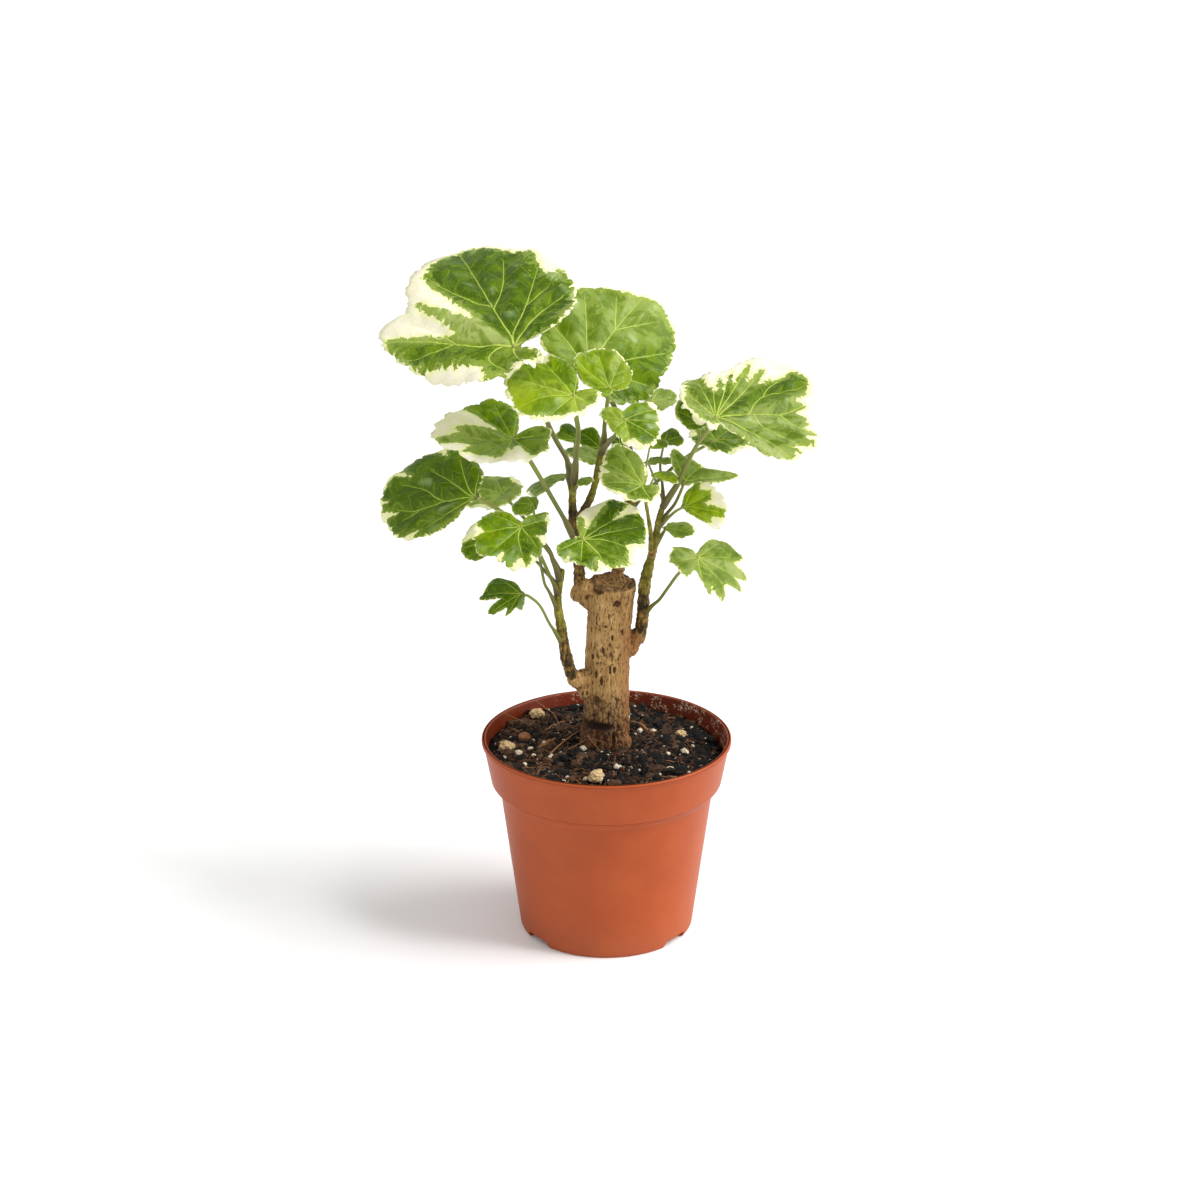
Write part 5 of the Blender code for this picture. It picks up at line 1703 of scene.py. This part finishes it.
def rib_measures(line, points):
    """For each point: length along the line, signed distance from it, and its width there."""
    starts, stops = line[:-1, :2], line[1:, :2]
    runs = stops - starts
    lengths = np.linalg.norm(runs, axis=1)
    before = np.concatenate([[0.0], np.cumsum(lengths)])[:-1]
    offset = points[:, None, :] - starts[None]
    share = np.clip((offset * runs).sum(2) / (lengths ** 2), 0.0, 1.0)
    gap = np.linalg.norm(offset - share[..., None] * runs, axis=2)
    nearest = gap.argmin(1)
    row = np.arange(len(points))
    t = share[row, nearest]
    side = np.sign(runs[nearest, 0] * offset[row, nearest, 1]
                   - runs[nearest, 1] * offset[row, nearest, 0])
    along = before[nearest] + t * lengths[nearest]
    width = line[nearest, 2] * (1 - t) + line[nearest + 1, 2] * t
    return along, side * gap[row, nearest], width


print(sum(len(leaf.ribs) for leaf in LEAVES), "ribs")

# %% [markdown]
# ### The blade's mesh
#
# A blade is nearly flat, so it is laid out in its own plane. The margin is the outline with
# small rounded teeth, sampled evenly, and the inside is an even field of points. Delaunay
# triangulation joins them into near-equal triangles, which bend well and have no pole.

# %% Laying out a blade
MARGIN_STEP = 0.62
FIELD_STEPS = 46
LOBE_SHARE = {"dark": 0.06, "mid": 0.06, "light": 0.08, "young": 0.10}


def margin_points(leaf, seed):
    """Even points round the toothed margin."""
    angles = np.arange(-180.0, 180.0, 0.25)
    line = polar(reach_at(leaf.outline, angles), angles)
    steps = np.linalg.norm(np.roll(line, -1, 0) - line, axis=1)
    run = np.concatenate([[0.0], np.cumsum(steps)])
    girth = run[-1]
    count = max(48, int(girth / MARGIN_STEP))
    at = np.arange(count) * girth / count
    angle = np.interp(at, run, np.append(angles, 180.0))
    pitch, depth = leaf.teeth
    teeth = round(girth / pitch)
    phase = at / girth * teeth + 0.35 * np.sin(at / girth * 11 * 2 * np.pi + seed)
    tooth = 1.0 - np.abs(2.0 * (phase % 1.0) - 1.0) ** 1.7
    uneven = 0.75 + 0.35 * np.sin(at / girth * 7 * 2 * np.pi + 2.0 * seed)
    reach = reach_at(leaf.outline, angle)
    lobe = np.abs(np.sin(np.pi * phase / 3.0 + 0.8 * np.sin(at / girth * 5 * 2 * np.pi + seed)))
    radius = reach - np.minimum(depth * uneven, reach * 0.12) * (1.0 - tooth)
    radius -= np.minimum(LOBE_SHARE[leaf.tint] * reach, 2.2) * (1.0 - lobe) ** 2
    return polar(radius, angle)


def blade_layout(leaf, seed):
    """Points and triangles of the flat blade."""
    margin = margin_points(leaf, seed)
    longest = longest_reach(leaf)
    step = min(1.6, max(0.7, longest / FIELD_STEPS))
    side = np.arange(-longest, longest, step)
    field = [(x + (j % 2) * step / 2, y * 0.866) for j, y in enumerate(side / 0.866) for x in side]
    field = np.array(field)
    radius = np.linalg.norm(field, axis=1)
    reach = reach_at(leaf.outline, np.degrees(np.arctan2(field[:, 1], field[:, 0])))
    field = field[radius < reach * 0.965 - step * 0.55]
    ring = list(range(len(margin)))
    points, _, faces = delaunay_2d_cdt([Vector(p) for p in (*margin, *field)], [], [ring], 1,
                                       1e-5)[:3]
    return np.array([tuple(p) for p in points]), [tuple(face) for face in faces]


points, faces = blade_layout(LEAVES[0], 0.0)
print("first blade:", len(points), "points,", len(faces), "triangles")

# %% [markdown]
# ### Relief
#
# The packed leaf gives the broad bend. On top of it the lamina puffs up between the ribs and
# between their side veins, the ribs lie in grooves, and the margin ruffles. Each is a small
# lift along the blade's upper side.

# %% Blade relief
VEIN_LEAN = 0.85


def leaf_axes(lie):
    """Unit vectors along the midrib, across the blade, and out of its upper side."""
    heading, rise, roll = (math.radians(angle) for angle in lie)
    level_run = math.cos(rise)
    midrib = Vector((level_run * math.cos(heading), level_run * math.sin(heading), math.sin(rise)))
    level = (Vector((0, 0, 1)) - midrib * midrib.z).normalized()
    up = level * math.cos(roll) + midrib.cross(level) * math.sin(roll)
    return midrib, up.cross(midrib), up


def puckers(radius, angle, size, seed):
    """Uneven swellings of the lamina, about as wide as size, between -1 and 1."""
    places = polar(radius, angle) / size
    return np.array([noise.noise(Vector((x, y, 5.0 * seed))) for x, y in places])


def blade_lift(leaf, radius, angle, share, near, longest, seed):
    """How far each point stands above the blade's plane, in millimetres."""
    along, off, width, spacing = near
    turn = np.radians(angle)
    lift = leaf.bend * radius ** 2 / longest
    free = np.clip(radius / 4.0, 0.0, 1.0)
    away = np.abs(off)
    groove = -0.5 * width * np.exp(-(off / (0.35 + 0.9 * width)) ** 2)
    puff = (0.8 + 0.040 * longest) * (1.0 - np.exp(-away / (0.07 * longest + 2.0)))
    pucker = puckers(radius, angle, 2.2 + 0.07 * longest, seed)
    vein = (along - VEIN_LEAN * away) / spacing + 0.9 * pucker
    quilt = 0.022 * spacing * np.cos(2 * np.pi * vein) * (1.0 - np.exp(-away / 1.5))
    crinkle = 0.5 + 0.006 * longest if leaf.tint == "young" else 0.25 + 0.009 * longest
    quilt += crinkle * pucker
    size = 0.35 + 0.018 * longest
    ruffle = size * share ** 4 * np.sin(7 * turn + seed)
    ruffle += 0.45 * size * share ** 6 * np.sin(17 * turn + 2.0 * seed)
    sway = 0.012 * longest * share ** 2 * np.sin(3 * turn + 1.7 * seed)
    return lift + free * (groove + puff * (1 - share ** 6) + quilt * (1 - share ** 8)
                          + ruffle + sway)


print("side veins leave their rib", VEIN_LEAN, "along for one across")

# %% [markdown]
# The finish needs more than places, so the mesh carries it. Three maps hold the blade's plane,
# the distances along and from the nearest rib, and those along and inside the green's edge. The
# rib is chosen for each triangle and not for each point, so that the pattern never smears where
# one rib's ground meets another's. Values at points hold the shade, the freshness, the rib's
# width, the depth of the edge's teeth, and how near the margin is.

# %% Blade mesh
TOOTH_DEPTH = (0.3, 0.036)      # millimetres, and more for each of the longest reach


def blade_tones(leaf, angle):
    """Shade and freshness at each angle."""
    tones = leaf.tones or {0: TINT_TONES[leaf.tint]}
    return [round_the_blade({turn: tone[i] for turn, tone in tones.items()}, angle)
            for i in (0, 1)]


def green_share(leaf, angle):
    """How far out the green goes at each angle; a narrow margin is drawn narrower still."""
    share = round_the_blade(leaf.green, angle)
    return 1.0 - (1.0 - share) * (1.0 - 0.5 * np.clip((share - 0.82) / 0.06, 0.0, 1.0))


def green_edge(leaf):
    """The green's edge as (x, y, 0) rows of the blade's plane, all round."""
    angles = np.append(np.arange(-180.0, 180.0, 1.5), -180.0)
    line = polar(reach_at(leaf.outline, angles) * green_share(leaf, angles), angles)
    return np.pad(line, ((0, 0), (0, 1)))


def blade_mesh(leaf, seed):
    """The blade's upper skin in place, with its maps and values."""
    points, faces = blade_layout(leaf, seed)
    radius = np.linalg.norm(points, axis=1)
    angle = np.degrees(np.arctan2(points[:, 1], points[:, 0]))
    reach = reach_at(leaf.outline, angle)
    share = np.clip(radius / reach, 0.0, 1.0)
    longest = longest_reach(leaf)
    spacing = min(9.0, 3.0 + 0.07 * longest)
    measures = [rib_measures(line, points) for line in rib_lines(leaf)]
    along, off, width = (np.array(column) for column in zip(*measures))
    nearest = np.abs(off).argmin(0)
    row = np.arange(len(points))
    near = (along[nearest, row], off[nearest, row], width[nearest, row], spacing)
    lift = blade_lift(leaf, radius, angle, share, near, longest, seed)
    midrib, across, up = (np.array(axis) for axis in leaf_axes(leaf.lie))
    places = np.array(leaf.joint) + points[:, :1] * midrib + points[:, 1:] * across
    places = (places + lift[:, None] * up) * MM

    mesh = bpy.data.meshes.new(leaf.name)
    mesh.from_pydata(places.tolist(), [], faces)
    corners = np.array(faces)
    if np.cross(*(points[corners[0, k]] - points[corners[0, 0]] for k in (1, 2))) < 0:
        mesh.flip_normals()
    corners = np.array([loop.vertex_index for loop in mesh.loops]).reshape(-1, 3)
    chosen = np.repeat(np.abs(off)[:, corners].mean(2).argmin(0), 3)
    flat = corners.ravel()
    ribs = np.stack([along[chosen, flat], off[chosen, flat]], 1) / spacing
    mesh.uv_layers.new(name="rib").data.foreach_set("uv", ribs.ravel().astype(np.float32))
    plane = points[flat] + (37.0 * seed, 11.0 * seed)
    mesh.uv_layers.new(name="blade").data.foreach_set("uv", plane.ravel().astype(np.float32))
    run, gap, _ = rib_measures(green_edge(leaf), points)
    inside = np.abs(gap) * np.sign(green_share(leaf, angle) - share)
    teeth = run[corners] / leaf.teeth[0]
    broken = np.ptp(teeth, axis=1) > 0.6
    teeth[broken] = teeth[broken][:, :1]
    edge = np.stack([teeth.ravel(), inside[flat]], 1)
    mesh.uv_layers.new(name="edge").data.foreach_set("uv", edge.ravel().astype(np.float32))
    shade, fresh = blade_tones(leaf, angle)
    inside = np.clip(inside, -8.0, 8.0)
    values = {"green": inside, "shade": shade, "fresh": fresh, "rib_width": near[2] / spacing,
              "tooth": np.full(len(points), TOOTH_DEPTH[0] + TOOTH_DEPTH[1] * longest),
              "rim": np.clip((1.0 - share) * reach, 0.0, 5.0)}
    for mark, column in values.items():
        mark_points(mesh, mark, column.astype(np.float32))
    mesh.shade_smooth()
    return mesh


print("a blade carries", ("rib", "blade", "edge"), "maps")

# %% [markdown]
# ### Blade finishes
#
# The upper skin is green inside and cream outside, with a sharp, ragged edge between them.
# Next to the edge the green is often a greyish sage, where only one layer of the leaf is
# green, in streaks that follow the side veins. All of that is one distance, roughened by noise
# and cut at several levels. Ribs and veins are drawn over it from the rib map, and pale patches
# of painted sheen, a painted highlight, lie between them. The gloss of the waxy skin comes from
# a low roughness.

# %% Variegated blade
RIB_TINT = (182, 199, 98)
VEIN_TINT = (132, 151, 44)


def ragged_edge(made, plane):
    """Distance inside the green, in millimetres, with saw teeth along its edge."""
    _, teeth, inside = made.map("edge")
    ragged = made.noise(plane, 1.3, 3.0, 0.65)
    bites = made.noise(plane, 4.6, 2.0, 0.5)
    count = teeth + (bites - 0.5) * 2.2
    saw = count.part()
    saw = saw.least((1.0 - saw) * 4.0)
    luck = made.node("ShaderNodeTexWhiteNoise", {"W": count.floor()}, noise_dimensions="1D")
    tooth = made.carried("tooth")
    blur = ((ragged - 0.5) * 0.3 + (bites - 0.5) * 0.8) * tooth
    return inside + (saw - 0.45) * tooth * (0.2 + luck * luck * 1.5) + blur, ragged, bites


def blade_finish(name, gloss, rough, sage_share, contrast):
    """A variegated upper skin, from the maps and values that the blade carries."""
    made = Finish(name, IOR=1.45, Specular_IOR_Level=gloss, Subsurface_Weight=0.45,
                  Subsurface_Scale=1.5 * MM, Subsurface_Radius=(0.8, 1.0, 0.4))
    plane = made.map("blade")[0]
    _, along, off = made.map("rib")
    away = abs(off)
    wobble = made.noise(plane, 7.0, 2.0)
    vein_phase = along - away * VEIN_LEAN + (wobble - 0.5) * 0.9
    tilted = made.join(vein_phase * 1.6, away * 0.5, wobble * 2.0)
    streaks = made.noise(tilted, 1.0, 3.0, 0.6)
    inside, ragged, bites = ragged_edge(made, plane)
    green = inside.step(-0.14, 0.14)

    broad = made.noise(plane, 13.0, 3.0, 0.55)
    patches = (streaks * 0.5 + broad * 0.5).step(0.495, 0.525)
    shade = made.carried("shade") + (broad - 0.5) * 0.5 + (patches - 0.5) * contrast
    shade = shade + (streaks - 0.5) * 0.16 + (ragged - 0.5) * 0.08
    sage = ramp(shade, (0.0, (158, 166, 112)), (0.3, (121, 135, 70)),
                (0.65, (82, 100, 24)), (1.0, (54, 75, 4)))
    fresh = ramp(shade, (0.0, (150, 166, 16)), (0.35, (115, 137, 0)),
                 (0.7, (80, 107, 0)), (1.0, (54, 78, 0)))
    leaf = made.carried("fresh").mix(sage, fresh)
    reach = made.carried("tooth")
    margin_sage = (reach * (streaks * 6.0 - 2.3) - inside).step(-0.3, 0.3) * sage_share
    leaf = margin_sage.mix(leaf, (146, 160, 76))
    # painted sheen: pale patches between the ribs stand for the lamps' highlights
    painted_sheen = made.noise(plane, 15.0, 2.0, 0.4).step(0.59, 0.70) * (away - 0.1).step(0.0, 0.5)
    leaf = (painted_sheen * 0.26).mix(leaf, (196, 212, 168))

    width = made.carried("rib_width")
    rib = (width * 0.55 - away).step(-0.02, 0.02)
    halo = (width * 2.2 - away).step(-0.12, 0.12)
    leaf = (halo * 0.16).mix(leaf, VEIN_TINT)
    vein = abs(vein_phase.part() - 0.5)
    vein = (0.026 - vein).step(-0.02, 0.02) * (away - 0.05).step(0.0, 0.08)
    vein = vein * (1.8 - away).step(0.0, 1.0) * wobble.step(0.36, 0.5)
    leaf = (vein * 0.7).mix(leaf, VEIN_TINT)
    leaf = (rib * 0.9).mix(leaf, RIB_TINT)
    net = made.cells(plane, 2.3, "DISTANCE_TO_EDGE")
    leaf = ((0.08 - net).step(0.0, 0.08) * 0.13).mix(leaf, VEIN_TINT)

    cream = (ragged * 0.5 + bites * 0.5).step(0.3, 0.75).mix((238, 232, 211),
                                                           (227, 219, 186))
    cream = (rib * 0.4 + vein * 0.1).mix(cream, (206, 206, 140))
    edge_line = (inside + 1.5).step(-0.7, 0.7)
    rim = (0.7 - made.carried("rim")).step(0.0, 0.6)
    cream = (edge_line.most(rim) * 0.6).mix(cream, (222, 228, 146))
    skin = green.mix(cream, leaf)
    skin = (rim * 0.2).mix(skin, (214, 220, 140))

    height = net.step(0.0, 0.18) * 0.06 + vein * -0.07 + rib * 0.05 + ragged * 0.08
    height = height + streaks * 0.3
    rough = rough + (ragged - 0.5) * 0.14 + (broad - 0.5) * 0.4 + (1.0 - green) * 0.15
    return made.finish(Base_Color=skin, Roughness=rough, height=height)


BLADE_TOPS = {"dark": blade_finish("blade_dark", 0.16, 0.30, 0.35, 0.20),
              "mid": blade_finish("blade_mid", 0.16, 0.30, 0.55, 0.24),
              "light": blade_finish("blade_sage", 0.14, 0.34, 0.50, 0.20),
              "young": blade_finish("blade_young", 0.19, 0.26, 0.45, 0.20)}
print([len(finish.node_tree.nodes) for finish in BLADE_TOPS.values()], "nodes")

# %% Underside and stalk
def underside_finish():
    """The paler, duller underside, with raised ribs."""
    made = Finish("blade_underside", Roughness=0.6)
    plane = made.map("blade")[0]
    off = made.map("rib")[2]
    away = abs(off)
    inside, ragged, _ = ragged_edge(made, plane)
    shade = made.carried("shade") + (made.noise(plane, 8.0, 3.0) - 0.5) * 0.3
    leaf = ramp(shade, (0.0, (170, 186, 116)), (0.5, (130, 152, 78)),
                (1.0, (92, 118, 48)))
    leaf = inside.step(-0.16, 0.16).mix((222, 217, 178), leaf)
    rib = (made.carried("rib_width") * 0.7 - away).step(-0.05, 0.05)
    leaf = (rib * 0.8).mix(leaf, (200, 208, 134))
    return made.finish(Base_Color=leaf, height=rib * 0.35 + ragged * 0.08)


def stalk_finish():
    """Olive stalks, brown where they leave the shoot and yellow-green at the blade."""
    made = Finish("leaf_stalk", Roughness=0.45)
    at = made.place()
    grain = made.noise(made.squeezed(at, 0.3), 1.4, 4.0, 0.6)
    along = made.carried("along") + (grain - 0.5) * 0.25
    skin = ramp(along, (0.0, (78, 64, 28)), (0.12, (104, 98, 38)),
                (0.5, (116, 122, 44)), (0.9, (140, 146, 60)),
                (1.0, (156, 150, 70)))
    return made.finish(Base_Color=skin, height=grain * 0.12)


blade_under = underside_finish()
leaf_stalk = stalk_finish()
print("underside and stalk finishes made")

# %% [markdown]
# ### Stalks
#
# A stalk leaves its shoot in a widened foot that clasps the wood, bends through the points of
# the packed model, and runs into the blade where the ribs meet. The same sweeping tree makes
# it. Blade and stalk are then joined into one piece, because they are one organ.

# %% Stalk paths
GAP = 0.3
SLIM = 0.78         # a living stalk is slimmer than the packed solid that stands for it


def on_shoot(name, height):
    """The place, direction and radius of a shoot's axis at a height."""
    path = smooth_path(SHOOTS[name][3:], 4)
    for low, high in zip(path, path[1:]):
        if height <= high[2]:
            break
    share = clipped((height - low[2]) / (high[2] - low[2]))
    here = low.lerp(high, share)
    return here.resized(3), (high - low).resized(3).normalized(), here[3]


def stalk_rows(leaf):
    """The stalk's line, from inside the shoot to the blade: (x, y, z, radius, share along)."""
    centre, along, radius = on_shoot(leaf.shoot, leaf.height)
    towards = (Vector(leaf.via[0] if leaf.via else leaf.joint) - centre).normalized()
    across = max(0.25, math.sqrt(max(0.0, 1.0 - towards.dot(along) ** 2)))
    clear = (radius + GAP + leaf.stalk * abs(towards.dot(along))) / across
    start = centre + towards * clear
    rows = [(*(centre + towards * radius * 0.2 - along * 1.5), leaf.stalk * 1.8),
            (*start, leaf.stalk * 1.45)]
    if leaf.via:
        rows.append((*start.lerp(Vector(leaf.via[0]), 0.45), leaf.stalk * 1.1))
    rows += [(*point, leaf.stalk) for point in leaf.via]
    rows.append((*leaf.joint, leaf.stalk * 0.8))
    path = smooth_path(rows, 8)
    steps = [0.0] + [(b - a).resized(3).length for a, b in zip(path, path[1:])]
    run = np.cumsum(steps) / sum(steps)
    finished = [(*point, float(share)) for point, share in zip(path, run)]
    up = leaf_axes(leaf.lie)[2]
    end = Vector(leaf.joint) + up * (0.25 + leaf.stalk * 0.2)
    finished += [(*end, leaf.stalk * 0.5, 1.0), (*(end + up * 0.2), leaf.stalk * 0.1, 1.0)]
    return [(*row[:3], row[3] * SLIM, row[4]) for row in finished]


print("stalk of the first leaf:", len(stalk_rows(LEAVES[0])), "rows")

# %% Growing the leaves
THICKNESS = 0.24
STALK_SIDES = 14
SEED_STEP = 1.37


def grow_leaf(number, leaf):
    """One leaf: a blade of even thickness, joined to its stalk."""
    seed = number * SEED_STEP
    blade = plain(leaf.name + "_grown", blade_mesh(leaf, seed), BLADE_TOPS[leaf.tint],
                  blade_under)
    solid = blade.modifiers.new("thickness", "SOLIDIFY")
    solid.thickness = THICKNESS * MM
    solid.offset = -1.0
    solid.material_offset = 1
    applied(blade)
    stalk = swept(leaf.name + "_stalk", [stalk_rows(leaf)], STALK_SIDES, leaf_stalk, ("along",))
    with bpy.context.temp_override(active_object=blade, selected_editable_objects=[blade, stalk]):
        bpy.ops.object.join()
    settle(blade, "leaf_" + leaf.tint, leaf.name)


for number, leaf in enumerate(LEAVES):
    grow_leaf(number, leaf)

# %% [markdown]
